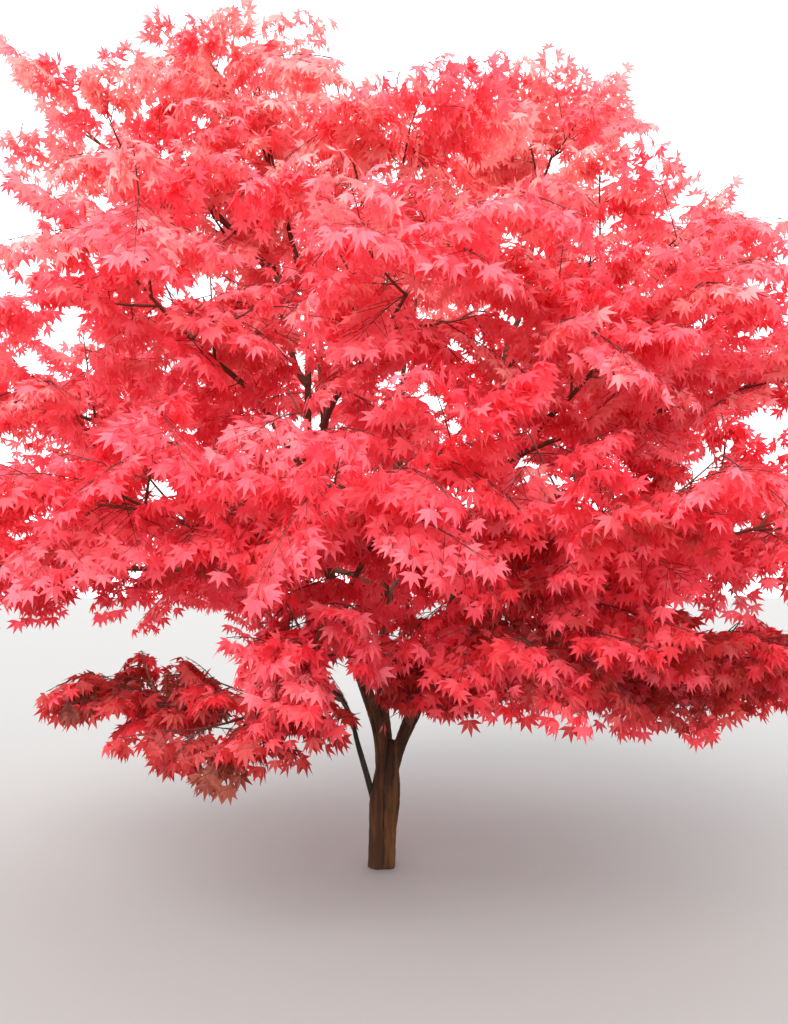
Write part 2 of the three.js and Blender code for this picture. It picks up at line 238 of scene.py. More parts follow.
# The radius of each stem at its foot and at its tip, and the points that it runs through.
STEMS = {
    "left_stem": (0.034, 0.009, [
        (0.016, -0.006, 0.44), (-0.016, -0.028, 0.63), (-0.066, -0.06, 0.8), (-0.147, -0.15, 1.055),
        (-0.239, -0.26, 1.389), (-0.31, -0.33, 1.691), (-0.313, -0.36, 2.0), (-0.322, -0.41, 2.5),
        (-0.4, -0.43, 2.83),
    ]),
    "centre_stem": (0.03, 0.009, [
        (0.03, 0.02, 0.44), (0.016, 0.022, 0.62), (0, 0.02, 0.793), (0.012, 0.07, 1.089),
        (0.024, 0.16, 1.4), (0.09, 0.26, 1.9), (0.11, 0.38, 2.4), (0.16, 0.48, 2.7),
    ]),
    "right_stem": (0.031, 0.009, [
        (0.052, -0.004, 0.43), (0.097, 0, 0.579), (0.153, 0.02, 0.709), (0.282, 0.05, 0.972),
        (0.398, 0.06, 1.397), (0.518, 0.04, 1.726), (0.591, 0.02, 2.056), (0.59, 0, 2.352),
        (0.69, 0, 2.65), (0.745, 0.01, 3.06),
    ]),
    "right_back_stem": (0.022, 0.008, [
        (0.054, 0.024, 0.43), (0.112, 0.044, 0.57), (0.178, 0.092, 0.7), (0.3, 0.2, 0.96),
        (0.42, 0.34, 1.35), (0.56, 0.48, 1.8), (0.69, 0.58, 2.12),
    ]),
    "low_left_stem": (0.014, 0.007, [
        (-0.026, -0.008, 0.27), (-0.06, -0.03, 0.4), (-0.105, -0.07, 0.56), (-0.14, -0.12, 0.7),
        (-0.2, -0.24, 0.82), (-0.29, -0.4, 0.88), (-0.36, -0.54, 0.87),
    ]),
}

# Half-width and half-depth of the masses in each tier, the droop of their sprays in degrees, and how many
# of the sprays are grown.
TIERS = {
    "low": (0.38, 0.2, (-8, 34), 0.5),
    "hem": (0.6, 0.3, (0, 52), 0.8),
    "fringe": (0.27, 0.3, (10, 60), 0.85),
    "tuft": (0.2, 0.18, (0, 50), 0.8),
    "edge": (0.56, 0.3, (-12, 50), 0.8),
    "skirt": (0.7, 0.465, (-12, 58), 1.0),
    "middle": (0.715, 0.482, (-20, 52), 1.0),
    "upper": (0.71, 0.465, (-30, 36), 0.95),
    "top": (0.54, 0.44, (-42, 24), 0.78),
    "far": (0.54, 0.36, (-40, 20), 0.3),
}

# Heading, reach, height, the limb that carries the mass, and the share of its length where the bough
# leaves it. A mass with no share grows from the limb's own tip. The first word of a name is its tier.
MASSES = {
    "low_front_left": (240, 0.95, 0.74, "low_left_stem", None),
    "low_left": (205, 1.1, 0.79, "low_left_stem", 0.58),
    "hem_right": (350, 1.42, 0.93, "right_stem", 0.22),
    "fringe_front": (256, 0.96, 1.02, "left_stem", 0.2),
    "hem_front": (310, 0.95, 1.05, "right_stem", 0.14),
    "edge_left": (188, 1.6, 1.4, "left_stem", 0.32),
    "skirt_front_left": (230, 1.25, 1.52, "left_stem", 0.38),
    "skirt_front": (272, 1.19, 1.52, "left_stem", 0.28),
    "skirt_front_right": (312, 1.29, 1.43, "right_stem", 0.3),
    "skirt_right": (348, 1.62, 1.48, "right_stem", 0.34),
    "skirt_back_right": (33, 1.4, 1.42, "right_back_stem", 0.4),
    "skirt_back": (82, 1.33, 1.4, "centre_stem", 0.3),
    "skirt_back_left": (134, 1.4, 1.4, "centre_stem", 0.34),
    "middle_left": (183, 1.56, 2.09, "left_stem", 0.5),
    "middle_front_left": (228, 1.2, 2.26, "left_stem", 0.56),
    "middle_front": (275, 1.08, 2.24, "upper_front_bough", 0.3),
    "middle_front_right": (318, 1.18, 2.12, "right_stem", 0.48),
    "middle_right": (354, 1.6, 2.15, "right_stem", 0.54),
    "middle_back_right": (42, 1.33, 2.3, "right_back_stem", None),
    "middle_back": (92, 1.3, 2.28, "centre_stem", 0.58),
    "middle_back_left": (140, 1.36, 2.26, "centre_stem", 0.5),
    "upper_left": (197, 0.84, 2.9, "left_stem", 0.72),
    "upper_front": (276, 0.64, 2.89, "left_stem", 0.52),
    "upper_right": (347, 1.2, 2.68, "right_stem", 0.72),
    "upper_back": (74, 0.78, 3.06, "centre_stem", None),
    "top_left": (205, 0.78, 3.44, "left_stem", None),
    "tuft_front": (292, 0.52, 0.93, "right_stem", 0.08),
    "top_right": (358, 0.82, 3.26, "right_stem", None),
    "far_left": (190, 1.28, 3.26, "left_stem", 0.86),
}

# Where each twig leaves its mass's stem, the turn of its tip, and how far out and up the tip is.
TWIGS = [
    (0.72, 44, 0.52, 0.74),
    (0.66, -42, 0.55, 0.16),
    (0.4, 112, 0.52, 0.1),
    (0.34, -104, 0.5, 0.8),
    (0.2, 172, 0.3, 0.62),
]
SEED = 15
print("tree:", len(STEMS), "stems,", len(MASSES), "masses")

# %% [markdown]
# The same seed has to grow the same tree here as in the frame, so the random numbers come from a whole
# number rule that any language can repeat. The limbs follow two kinds of curve: a smooth one through a
# list of points for the stems, and one bent by handles for the boughs. Both are stored as a fine polyline
# with its length, so a share of the length finds a point.

# %% Random numbers and curves
WHOLE = 2**32
UP = np.array([0.0, 0.0, 1.0])
BENT_POINTS = 401
POINTS_TO_NEXT = 40
WAY_STEP = 0.002


class Draws:
    """Whole-number random draws: the same seed gives the same numbers anywhere."""

    def __init__(self, seed):
        self.state = (seed * 2654435761 + 12345) % WHOLE

    def between(self, low, high):
        self.state = (self.state * 1664525 + 1013904223) % WHOLE
        return low + (high - low) * self.state / WHOLE


class Curve:
    """A polyline fine enough to stand for a curve, read by a share of its length."""

    def __init__(self, points):
        self.points = np.asarray(points, float)
        steps = np.linalg.norm(np.diff(self.points, axis=0), axis=1)
        self.shares = np.concatenate([[0.0], np.cumsum(steps)])
        self.length = self.shares[-1]
        self.shares /= self.length

    def at(self, share):
        return np.array([np.interp(share, self.shares, self.points[:, axis]) for axis in range(3)]).T

    def way(self, share):
        return unit(self.at(min(1.0, share + WAY_STEP)) - self.at(max(0.0, share - WAY_STEP)))


def unit(vector):
    return vector / np.linalg.norm(vector, axis=-1, keepdims=True)


def through(points):
    """A smooth curve through points, bending most gently where they lie closest together."""
    knots = [np.asarray(point, float) for point in points]
    knots = [2 * knots[0] - knots[1], *knots, 2 * knots[-1] - knots[-2]]
    made = []
    for before, start, end, after in zip(knots, knots[1:], knots[2:], knots[3:]):
        pairs = ((before, start), (start, end), (end, after))
        first, middle, last = [np.linalg.norm(b - a) ** 0.5 for a, b in pairs]
        leave = (start - before) / first - (end - before) / (first + middle) + (end - start) / middle
        arrive = (end - start) / middle - (after - start) / (middle + last) + (after - end) / last
        leave, arrive = leave * middle, arrive * middle
        t = np.linspace(0, 1, POINTS_TO_NEXT, endpoint=False)[:, None]
        made.append(
            start + leave * t + (3 * (end - start) - 2 * leave - arrive) * t**2
            + (2 * (start - end) + leave + arrive) * t**3
        )
    made.append(knots[-2][None])
    return Curve(np.concatenate(made))


def bent(*handles):
    """A curve bent by three or four handles, of which it touches the first and the last."""
    t = np.linspace(0, 1, BENT_POINTS)[:, None]
    level = [np.asarray(handle, float)[None] for handle in handles]
    while len(level) > 1:
        level = [a * (1 - t) + b * t for a, b in zip(level, level[1:])]
    return Curve(level[0])


def polar(heading, reach, height):
    angle = math.radians(heading)
    return np.array([reach * math.cos(angle), reach * math.sin(angle), height])


print("curves ready")

# %% [markdown]
# A bough leaves its stem along the stem's own way, swings outwards and enters its mass half-way to the
# middle. Each limb is kept as a curve with its thickness at either end. A limb thins faster near its root
# than near its tip, as a real one does where it gives off its first shoots.

# %% Limbs
THINNING = 0.8
LEAST_THINNING = 0.003
ALONG_STEM, OUT_OF_STEM = 0.55, 0.6
STEEPNESS, LEAST_STEEP, MOST_STEEP = 0.75, -0.2, 0.9
ENTRY = 0.5
BEND = 0.34
limbs = {}


def add_limb(name, curve, radius, tip):
    limbs[name] = (curve, lambda share: radius + (tip - radius) * share**THINNING)


def tier_of(mass):
    return TIERS[mass.split("_")[0]]


def centre_of(mass):
    return polar(*MASSES[mass][:3])


def carrier_of(mass):
    """The limb whose tip the mass grows from: its own bough, or a stem."""
    return MASSES[mass][3] if MASSES[mass][4] is None else f"{mass}_bough"


def bough_curve(mass):
    parent, share = MASSES[mass][3:]
    curve = limbs[parent][0]
    root, along, centre = curve.at(share), curve.way(share), centre_of(mass)
    outward = centre - root
    level = unit(outward * (1, 1, 0))
    steep = min(max(outward[2] / np.linalg.norm(outward), LEAST_STEEP), MOST_STEEP)
    arriving = unit(level + UP * STEEPNESS * steep)
    entry = centre - arriving * ENTRY * tier_of(mass)[0]
    bend = BEND * np.linalg.norm(entry - root)
    leaving = unit(along * ALONG_STEM + level * OUT_OF_STEM)
    return bent(root, root + leaving * bend, entry - arriving * bend, entry)


for name, (radius, tip, points) in STEMS.items():
    add_limb(name, through(points), radius, tip)
parents = {MASSES[mass][3] for mass in MASSES}
for mass in sorted(MASSES, key=lambda mass: carrier_of(mass) not in parents):
    parent, share = MASSES[mass][3:]
    if share is not None:
        thickness = max(BOUGH_TIP_RADIUS + LEAST_THINNING, limbs[parent][1](share) * BOUGH_SHARE)
        add_limb(carrier_of(mass), bough_curve(mass), thickness, BOUGH_TIP_RADIUS)
print("limbs:", len(limbs))

# %% [markdown]
# Anything long and round, from a stem to the finest twig, is the same thing at another size: a path with
# a thickness at every point. So the script writes paths, as bare edges with their thickness stored on
# each point, and one Geometry Nodes tree draws a tube along all of them at once.

# %% Tubes along paths
STORED = {"FLOAT": ("value", np.float32), "INT": ("value", np.int32), "FLOAT_VECTOR": ("vector", np.float32)}


def new_tree(name, inputs):
    """A Geometry Nodes tree with named inputs, and the sockets that give them."""
    tree = bpy.data.node_groups.new(name, "GeometryNodeTree")
    for label, kind in {"Geometry": "NodeSocketGeometry", **inputs}.items():
        tree.interface.new_socket(label, in_out="INPUT", socket_type=kind)
    tree.interface.new_socket("Geometry", in_out="OUTPUT", socket_type="NodeSocketGeometry")
    return tree, tree.nodes.new("NodeGroupInput").outputs


def add_node(tree, kind, settings, links):
    """Adds a node to a Geometry Nodes tree and returns its first output."""
    made = tree.nodes.new(kind)
    for setting, value in settings.items():
        setattr(made, setting, value)
    for socket, value in links.items():
        if isinstance(value, bpy.types.NodeSocket):
            tree.links.new(value, made.inputs[socket])
        else:
            made.inputs[socket].default_value = value
    return made.outputs[0]


def end_tree(tree, given, geometry):
    """Makes instances real, sets the material and passes the result out."""
    whole = add_node(tree, "GeometryNodeRealizeInstances", {}, {"Geometry": geometry})
    painting = {"Geometry": whole, "Material": given["Material"]}
    painted = add_node(tree, "GeometryNodeSetMaterial", {}, painting)
    tree.links.new(painted, tree.nodes.new("NodeGroupOutput").inputs["Geometry"])
    return tree


def tube_tree():
    inputs = {"Sides": "NodeSocketInt", "Material": "NodeSocketMaterial"}
    tree, given = new_tree("tubes_along_paths", inputs)
    thickness = add_node(tree, "GeometryNodeInputNamedAttribute", {}, {"Name": "thickness"})
    curve = add_node(tree, "GeometryNodeMeshToCurve", {}, {"Mesh": given["Geometry"]})
    circle = {"Resolution": given["Sides"], "Radius": 1.0}
    ring = add_node(tree, "GeometryNodeCurvePrimitiveCircle", {}, circle)
    sweep = {"Curve": curve, "Profile Curve": ring, "Scale": thickness, "Fill Caps": True}
    return end_tree(tree, given, add_node(tree, "GeometryNodeCurveToMesh", {}, sweep))


def store(mesh, label, values, kind="FLOAT"):
    """Stores a value on each point of a mesh, for a material or a tree to read."""
    field, number = STORED[kind]
    mesh.attributes.new(label, kind, "POINT").data.foreach_set(field, values.astype(number).ravel())


def evaluated_mesh(thing):
    """A plain mesh of what an object's modifiers make of it."""
    evaluated = thing.evaluated_get(bpy.context.evaluated_depsgraph_get())
    return bpy.data.meshes.new_from_object(evaluated)


def grown(name, source, tree, inputs):
    """Runs a Geometry Nodes tree on a mesh and keeps the result as a plain object."""
    holder = add_object(name + "_source", source)
    modifier = holder.modifiers.new("grow", "NODES")
    modifier.node_group = tree
    for item in tree.interface.items_tree:
        if item.in_out == "INPUT" and item.name in inputs:
            modifier[item.identifier] = inputs[item.name]
    mesh = evaluated_mesh(holder)
    mesh.name = name
    holder.modifiers.remove(modifier)
    bpy.data.objects.remove(holder)
    return add_object(name, mesh)


def triangles(mesh):
    return sum(len(face.vertices) - 2 for face in mesh.polygons)


def tubes(name, paths, sides, material):
    """One piece of tubes, from paths given as (points, thickness at each point)."""
    points, thickness = (np.concatenate(rows) for rows in zip(*paths))
    ends = np.cumsum([len(path) for path, _ in paths])
    starts = np.setdiff1d(np.arange(len(points)), ends - 1)
    mesh = bpy.data.meshes.new(name + "_paths")
    mesh.from_pydata(points.tolist(), np.column_stack([starts, starts + 1]).tolist(), [])
    store(mesh, "thickness", thickness)
    piece = grown(name, mesh, TUBE_TREE, {"Sides": sides, "Material": material})
    print(name, len(paths), "paths,", triangles(piece.data), "triangles")
    return piece


TUBE_TREE = tube_tree()
print("tube tree has", len(TUBE_TREE.nodes), "nodes")

# %% [markdown]
# The bark of this maple is smooth and brown, a little greyer up the stems, with shade painted into the
# hollows between the ribs, and a painted highlight along the rib that faces the light. The pattern is noise
# that is stretched along the limb, and the painted shade in the hollows comes from the mesh: a value stored
# on each point says how deep it lies in a groove.

# %% Bark
BARK_GREY = colour(104, 72, 54)
# A painted highlight: the paler colour laid on the trunk's lit strand.
BARK_PAINTED_HIGHLIGHT = colour(128, 88, 54)
# The dark of random flecks, and of the shade painted into grooves, as is the last colour of each bark below.
BARK_FLECK_AND_GROOVE_SHADE = colour(20, 10, 5)
TRUNK_BARK = (colour(54, 28, 9), colour(88, 54, 24), BARK_GREY, BARK_FLECK_AND_GROOVE_SHADE)
BOUGH_BARK = (colour(88, 52, 38), colour(116, 74, 54), BARK_GREY, BARK_FLECK_AND_GROOVE_SHADE)
DARK_BARK = (colour(38, 36, 26), colour(56, 50, 36), colour(42, 36, 28), colour(18, 15, 11))
GREY_FROM = 0.55
GREY_OVER = 0.5
ALONG_LIMB = (1, 1, 0.14)
STREAKS_PER_METRE = 26.0
FLECKS_PER_METRE = 150.0
STREAK_FROM, STREAK_EDGE = 0.46, 5.0
FLECK_FROM, FLECK_EDGE, FLECK_SHARE = 0.5, 2.5, 0.5
PAINTED_HIGHLIGHT_SHARE, GREY_SHARE = 0.8, 0.75
BUMP_STRENGTH, BUMP_DEPTH, BROAD_BUMP = 0.55, 0.004, 0.6
LEAST_ROUGH, ROUGHER = 0.68, 0.25


def bark_shader(name, main, streak, upper, hollow):
    """Bark from its main colour, that of its streaks, that of its upper length, and the dark of its flecks
    and of the shade painted into its grooves.
    """
    bark = Shader(name, Specular_IOR_Level=0.25)
    broad = bark.noise(STREAKS_PER_METRE, ALONG_LIMB, detail=2.0)
    fine = bark.noise(FLECKS_PER_METRE, ALONG_LIMB, detail=5.0, roughness=0.65)
    height = bark.node("ShaderNodeSeparateXYZ", {}, {"Vector": bark.place()}, output="Z")
    greyer = ((height - GREY_FROM) * (1 / GREY_OVER)).clamped()
    streaked = bark.mix(((broad - STREAK_FROM) * STREAK_EDGE).clamped(), main, streak)
    # Painted highlight: the lit strand at the front right is mixed towards the paler colour.
    highlighted = bark.mix(bark.attribute("pale") * PAINTED_HIGHLIGHT_SHARE, streaked, BARK_PAINTED_HIGHLIGHT)
    aged = bark.mix(greyer * GREY_SHARE, highlighted, upper)
    # Dark flecks at random, in the same dark as the painted groove shade.
    flecked = bark.mix(((fine - FLECK_FROM) * FLECK_EDGE).clamped() * FLECK_SHARE, aged, hollow)
    # Painted shade: the deeper a point lies in a groove, the darker the bark is painted.
    shaded = bark.mix(bark.attribute("hollow"), flecked, hollow)
    relief = bark.bump(fine + broad * BROAD_BUMP, BUMP_STRENGTH, BUMP_DEPTH)
    return bark.feed(Base_Color=shaded, Normal=relief, Roughness=LEAST_ROUGH + fine * ROUGHER)


trunk_material = bark_shader("bark_brown", *TRUNK_BARK)
bough_material = bark_shader("bark_of_boughs", *BOUGH_BARK)
low_stem_material = bark_shader("bark_dark", *DARK_BARK)
print("bark materials ready")

# %% [markdown]
# The column under the fork is a stack of level rings on a leaning line, from a flat cut at the ground. It
# isn't round: each rib stands out towards one heading, most where the roots flare, and a slow swell comes
# and goes below the fork. One formula for the radius at any height and heading gives all of that.

# %% Column of the trunk
TRUNK_LINE = [(0, 0, 0), (0.006, 0, 0.13), (0.016, 0, 0.3), (0.03, 0.004, 0.46), (0.04, 0.008, 0.56)]
TRUNK_HEIGHT = FORK_HEIGHT + 0.04
TRUNK_RADIUS = 0.06
TRUNK_THINNING = 0.01
TRUNK_SIDES = 56
TRUNK_RINGS = 70
FLARE_RADIUS, FLARE_HEIGHT, RIBS_IN_FLARE = 0.004, 0.07, 0.8
SWELL, SWELL_AT, SWELL_OVER = 0.012, 0.34, 0.16
CLOSING, CLOSES_FROM, CLOSES_OVER = 0.42, 0.86, 0.14
CORE = 0.7
RIB_SHARPNESS = 6
# The heading of each rib of the trunk, and how far it stands out.
RIBS = [(200, 0.1), (330, 0.16), (90, 0.1), (265, 0.05)]
trunk_line = through(TRUNK_LINE)


def trunk_girth(share, angle):
    height = share * TRUNK_HEIGHT
    flare = math.exp(-height / FLARE_HEIGHT)
    swell = SWELL * math.exp(-(((height - SWELL_AT) / SWELL_OVER) ** 2))
    closed = max(0.0, (share - CLOSES_FROM) / CLOSES_OVER)
    section = CORE
    for heading, stands in RIBS:
        turn = math.cos(angle - math.radians(heading))
        section += stands * math.exp((turn - 1) * RIB_SHARPNESS) * (1 + RIBS_IN_FLARE * flare)
    girth = TRUNK_RADIUS - TRUNK_THINNING * share + FLARE_RADIUS * flare + swell
    return girth * section * (1 - CLOSING * closed**2)


def trunk_mesh():
    """The column under the fork, as level rings with a flat cut at the ground."""
    points, faces = [], []
    for ring in range(TRUNK_RINGS + 1):
        share = ring / TRUNK_RINGS
        middle = trunk_line.at(share)
        for side in range(TRUNK_SIDES):
            angle = 2 * math.pi * side / TRUNK_SIDES
            radius = trunk_girth(share, angle)
            x, y = radius * math.cos(angle), radius * math.sin(angle)
            points.append((middle[0] + x, middle[1] + y, middle[2]))
    for ring in range(TRUNK_RINGS):
        for side in range(TRUNK_SIDES):
            a, b = ring * TRUNK_SIDES + side, ring * TRUNK_SIDES + (side + 1) % TRUNK_SIDES
            faces.append((a, b, b + TRUNK_SIDES, a + TRUNK_SIDES))
    faces.append(tuple(reversed(range(TRUNK_SIDES))))
    faces.append(tuple(range(TRUNK_RINGS * TRUNK_SIDES, (TRUNK_RINGS + 1) * TRUNK_SIDES)))
    mesh = bpy.data.meshes.new("trunk_column")
    mesh.from_pydata(points, [], faces)
    return mesh


column = trunk_mesh()
print("column:", len(column.vertices), "points")

# %% [markdown]
# The trunk isn't a pole with branches stuck on: the stems don't end at the fork, but run on down it as
# strands. The strands wind a little, and they swell and thin on their way down, which gives the trunk its
# uneven waist. A strand laps over the foot of its stem, so the two melt into each other.

# %% Strands of the trunk
# Each strand's stem, its headings at the foot and at the fork, its radius and how far it is off the middle.
STRANDS = [
    ("left_stem", 216, 200, 0.041, 0.024),
    ("right_stem", 318, 346, 0.031, 0.039),
    ("centre_stem", 92, 92, 0.04, 0.024),
]
# How thick the strands are at each height, as a share of their radius.
STRAND_SWELL = [(0, 1.05), (0.06, 0.97), (0.17, 0.93), (0.29, 1.1), (0.37, 1.06), (0.43, 0.86)]
STRAND_FOOT, STRAND_TOP = 0.05, 0.43
STRAND_POINTS = 16
STRAND_SIDES = 20
WINDING, WINDINGS = 6, 14
STEM_LAP = (0.5, 0.6)
STEM_STEP = 0.02
WELDED_STEMS = [name for name in STEMS if name != "low_left_stem"]


def limb_path(name, step):
    """A limb's points, its thickness there and their distance from its foot."""
    curve, radius_at = limbs[name]
    shares = np.linspace(0, 1, int(curve.length / step) + 1)
    return curve.at(shares), radius_at(shares), shares * curve.length


def stem_path(name, low, high, step=STEM_STEP):
    """A stem's points and thickness between two heights."""
    points, girth, _ = limb_path(name, step)
    kept = (points[:, 2] >= low) & (points[:, 2] <= high)
    return points[kept], girth[kept]


def strand_path(stem, low_heading, high_heading, radius, offset):
    """A strand that runs from a stem's foot down the trunk to the ground."""
    heights = np.linspace(0.0, STRAND_TOP, STRAND_POINTS)
    x, y = (np.interp(heights, trunk_line.points[:, 2], trunk_line.points[:, axis]) for axis in range(2))
    turn = np.interp(heights, (STRAND_FOOT, STRAND_TOP), (low_heading, high_heading))
    turn = np.radians(turn + WINDING * np.sin(heights * WINDINGS))
    swell = np.interp(heights, *zip(*STRAND_SWELL))
    reach = offset * swell
    points = np.column_stack([x + reach * np.cos(turn), y + reach * np.sin(turn), heights])
    upper, girth = stem_path(stem, *STEM_LAP)
    return np.concatenate([points, upper]), np.concatenate([radius * swell, girth])


strands = [strand_path(*strand) for strand in STRANDS]
print("strands:", len(strands))

# %% [markdown]
# Column, strands and stems overlap, and a voxel remesh turns them into one skin. A few rounds of smoothing
# then fill the crotches as growing wood does.

# %% Trunk and fork
WELD_TOP = 1.12
WELD_VOXEL = 0.0048
MELTING = 0.5
MELT_ROUNDS = 9


def joined(name, parts):
    """One object from several meshes."""
    points, faces = [], []
    for mesh in parts:
        shift = len(points)
        points += [tuple(vertex.co) for vertex in mesh.vertices]
        faces += [tuple(shift + index for index in face.vertices) for face in mesh.polygons]
    mesh = bpy.data.meshes.new(name)
    mesh.from_pydata(points, [], faces)
    return add_object(name, mesh)


welded = [stem_path(name, 0.0, WELD_TOP) for name in WELDED_STEMS]
rods = tubes("fork_rods", welded + strands, STRAND_SIDES, trunk_material)
trunk = joined("trunk_and_fork", [column, rods.data])
bpy.data.objects.remove(rods)
weld = trunk.modifiers.new("weld", "REMESH")
weld.mode = "VOXEL"
weld.voxel_size = WELD_VOXEL
melt = trunk.modifiers.new("melt", "SMOOTH")
melt.factor = MELTING
melt.iterations = MELT_ROUNDS
welded_mesh = evaluated_mesh(trunk)
trunk.modifiers.clear()
trunk.data = welded_mesh
print("trunk and fork:", triangles(trunk.data), "triangles")

# %% [markdown]
# Bark relief follows the limb it grows on, and is pushed in after the weld, because the remesh would blur
# it. Each point of the skin looks for the nearest limb, and the relief there is noise in that limb's own
# measure: round it and along it. Where two limbs meet, their reliefs are blended. Each point also stores
# how deep it lies in a groove, for the shade painted into the grooves.

# %% Bark relief
FLUTE_DEPTH = 0.0058
CRACK_DEPTH = 0.0012
# How fine the noise is round a limb, and along it.
FLUTES = (2.1, 4.0)
CRACKS = (7.0, 16.0)
FLUTE_STRETCH = 1.6
CRACK_STRETCH, CRACK_FLOOR = 3.0, 0.7
NOISE_APART = 5.3
BLEND_OVER, BLEND_FROM, BLEND_TO = 0.008, -0.05, 0.2
FLAT_FOOT = 0.02
ANY_WAY = (0.31, 0.95, 0.02)
GROOVE_ROUNDS, KEPT, SPREAD = 14, 0.3, 0.7
GROOVE_DEPTH = 0.0026
BLOCK = 8192


def limb_frames(points):
    """A path's own way, and two directions across it that don't twist as it bends."""
    ways = unit(np.gradient(points, axis=0))
    across = np.empty_like(points)
    across[0] = unit(np.cross(ways[0], ANY_WAY))
    for index in range(1, len(points)):
        carried = across[index - 1] - ways[index] * (across[index - 1] @ ways[index])
        across[index] = unit(carried)
    return ways, across, np.cross(ways, across)


def relief_on(points, path, girth, offset):
    """Bark relief from one limb, and how far each point is from that limb's surface."""
    ways, across, other = limb_frames(path)
    along = np.concatenate([[0], np.cumsum(np.linalg.norm(np.diff(path, axis=0), axis=1))])
    nearest = np.empty(len(points), int)
    for start in range(0, len(points), BLOCK):
        block = points[start : start + BLOCK]
        nearest[start : start + BLOCK] = ((block[:, None] - path[None]) ** 2).sum(axis=2).argmin(axis=1)
    away = points - path[nearest]
    distance = np.linalg.norm(away, axis=1)
    turned = np.arctan2((away * other[nearest]).sum(axis=1), (away * across[nearest]).sum(axis=1))
    lengthwise = along[nearest] + (away * ways[nearest]).sum(axis=1)
    height = np.empty(len(points))

    def noise_at(x, y, length, round_limb, along_limb):
        return noise.noise(Vector((x * round_limb + offset, y * round_limb, length * along_limb)))

    for index, (angle, length) in enumerate(zip(turned, lengthwise)):
        x, y = math.cos(angle), math.sin(angle)
        crack = abs(noise_at(x, y, length, *CRACKS)) * CRACK_STRETCH - CRACK_FLOOR
        height[index] = FLUTE_DEPTH * noise_at(x, y, length, *FLUTES) * FLUTE_STRETCH + CRACK_DEPTH * crack
    return height, distance - girth[nearest]


def rows_of(values, field, count):
    """One row of three numbers for each point or normal of a mesh."""
    rows = np.empty(count * 3, np.float32)
    values.foreach_get(field, rows)
    return rows.reshape(-1, 3).astype(float)


def groove_depth(mesh, points, normals):
    """How far each point lies below its surroundings, from 0 to 1."""
    ends = np.empty(len(mesh.edges) * 2, np.int32)
    mesh.edges.foreach_get("vertices", ends)
    first, second = ends.reshape(-1, 2).T
    neighbours = np.bincount(ends, minlength=len(points))[:, None]
    smooth = points.copy()
    for _ in range(GROOVE_ROUNDS):
        total = np.zeros_like(smooth)
        for axis in range(3):
            total[:, axis] = np.bincount(first, smooth[second, axis], len(points))
            total[:, axis] += np.bincount(second, smooth[first, axis], len(points))
        smooth = KEPT * smooth + SPREAD * total / neighbours
    return np.clip(((smooth - points) * normals).sum(axis=1) / GROOVE_DEPTH, 0, 1)


def add_relief(mesh, paths, strength):
    """Pushes bark relief into a mesh, and stores on each point how deep it lies in a groove, for painted
    shade.
    """
    count = len(mesh.vertices)
    points = rows_of(mesh.vertices, "co", count)
    normals = rows_of(mesh.vertex_normals, "vector", count)
    total, weights = np.zeros(count), np.zeros(count)
    for index, (path, girth) in enumerate(paths):
        height, distance = relief_on(points, path, girth, NOISE_APART * index)
        weight = np.exp(-np.clip(distance, BLEND_FROM, BLEND_TO) / BLEND_OVER)
        total += height * weight
        weights += weight
    height = strength * total / weights
    above_cut = np.clip(points[:, 2] / FLAT_FOOT, 0, 1)
    moved = points + normals * (height * above_cut)[:, None]
    mesh.vertices.foreach_set("co", moved.astype(np.float32).ravel())
    # How deep each point lies in a groove, which the bark paints as shade.
    store(mesh, "hollow", groove_depth(mesh, moved, normals))


print("bark relief ready")

# %% [markdown]
# The trunk takes the relief of whatever runs under its skin: its own line below, and the stems above. First
# what lies under the ground is levelled, which gives the flat cut back. The strand at the front right
# catches the light, and a paler colour is painted on it as a highlight, so each point stores how near it is
# to that strand.

# %% Relief of the trunk
TRUNK_GIRTH = 0.062
TRUNK_AXIS_POINTS = 30
LOWEST_STEM = 0.47
# Where the painted highlight lies: the lit strand, how near to it and how high up, and how far to the front.
PAINTED_HIGHLIGHT_STRAND = 1
PAINTED_HIGHLIGHT_REACH, PAINTED_HIGHLIGHT_EDGE = 0.036, 0.008
PAINTED_HIGHLIGHT_TOP, PAINTED_HIGHLIGHT_FADE = 0.5, 0.1
PAINTED_HIGHLIGHT_FRONT = 0.02

for vertex in trunk.data.vertices:
    vertex.co.z = max(vertex.co.z, 0.0)
trunk_axis = trunk_line.at(np.linspace(0, 0.9, TRUNK_AXIS_POINTS))
relief_paths = [(trunk_axis, np.full(TRUNK_AXIS_POINTS, TRUNK_GIRTH))]
relief_paths += [stem_path(name, LOWEST_STEM, WELD_TOP + STEM_STEP) for name in WELDED_STEMS]
add_relief(trunk.data, relief_paths, 1.0)
skin = rows_of(trunk.data.vertices, "co", len(trunk.data.vertices))
# The painted highlight: near the lit strand, below a height, and on the front.
highlight_line = strands[PAINTED_HIGHLIGHT_STRAND][0][: STRAND_POINTS - 2]
from_line = np.linalg.norm(skin[:, None] - highlight_line[None], axis=2).min(axis=1)
pale = np.clip(1 - (from_line - PAINTED_HIGHLIGHT_REACH) / PAINTED_HIGHLIGHT_EDGE, 0, 1)
pale *= np.clip((PAINTED_HIGHLIGHT_TOP - skin[:, 2]) / PAINTED_HIGHLIGHT_FADE, 0, 1)
pale *= np.clip(1 + skin[:, 1] / PAINTED_HIGHLIGHT_FRONT, 0, 1)
store(trunk.data, "pale", pale)
trunk.data.materials.clear()
trunk.data.materials.append(trunk_material)
trunk.data.shade_smooth()
print("trunk relief pushed in")

# %% [markdown]
# Above the fork each stem and bough is a tube of its own, with the same relief, thinner and fainter. A
# bough's foot swells into a collar where it leaves its stem, so it looks grown and not glued. The thin
# stem low on the left has darker bark, so it is a piece of its own.

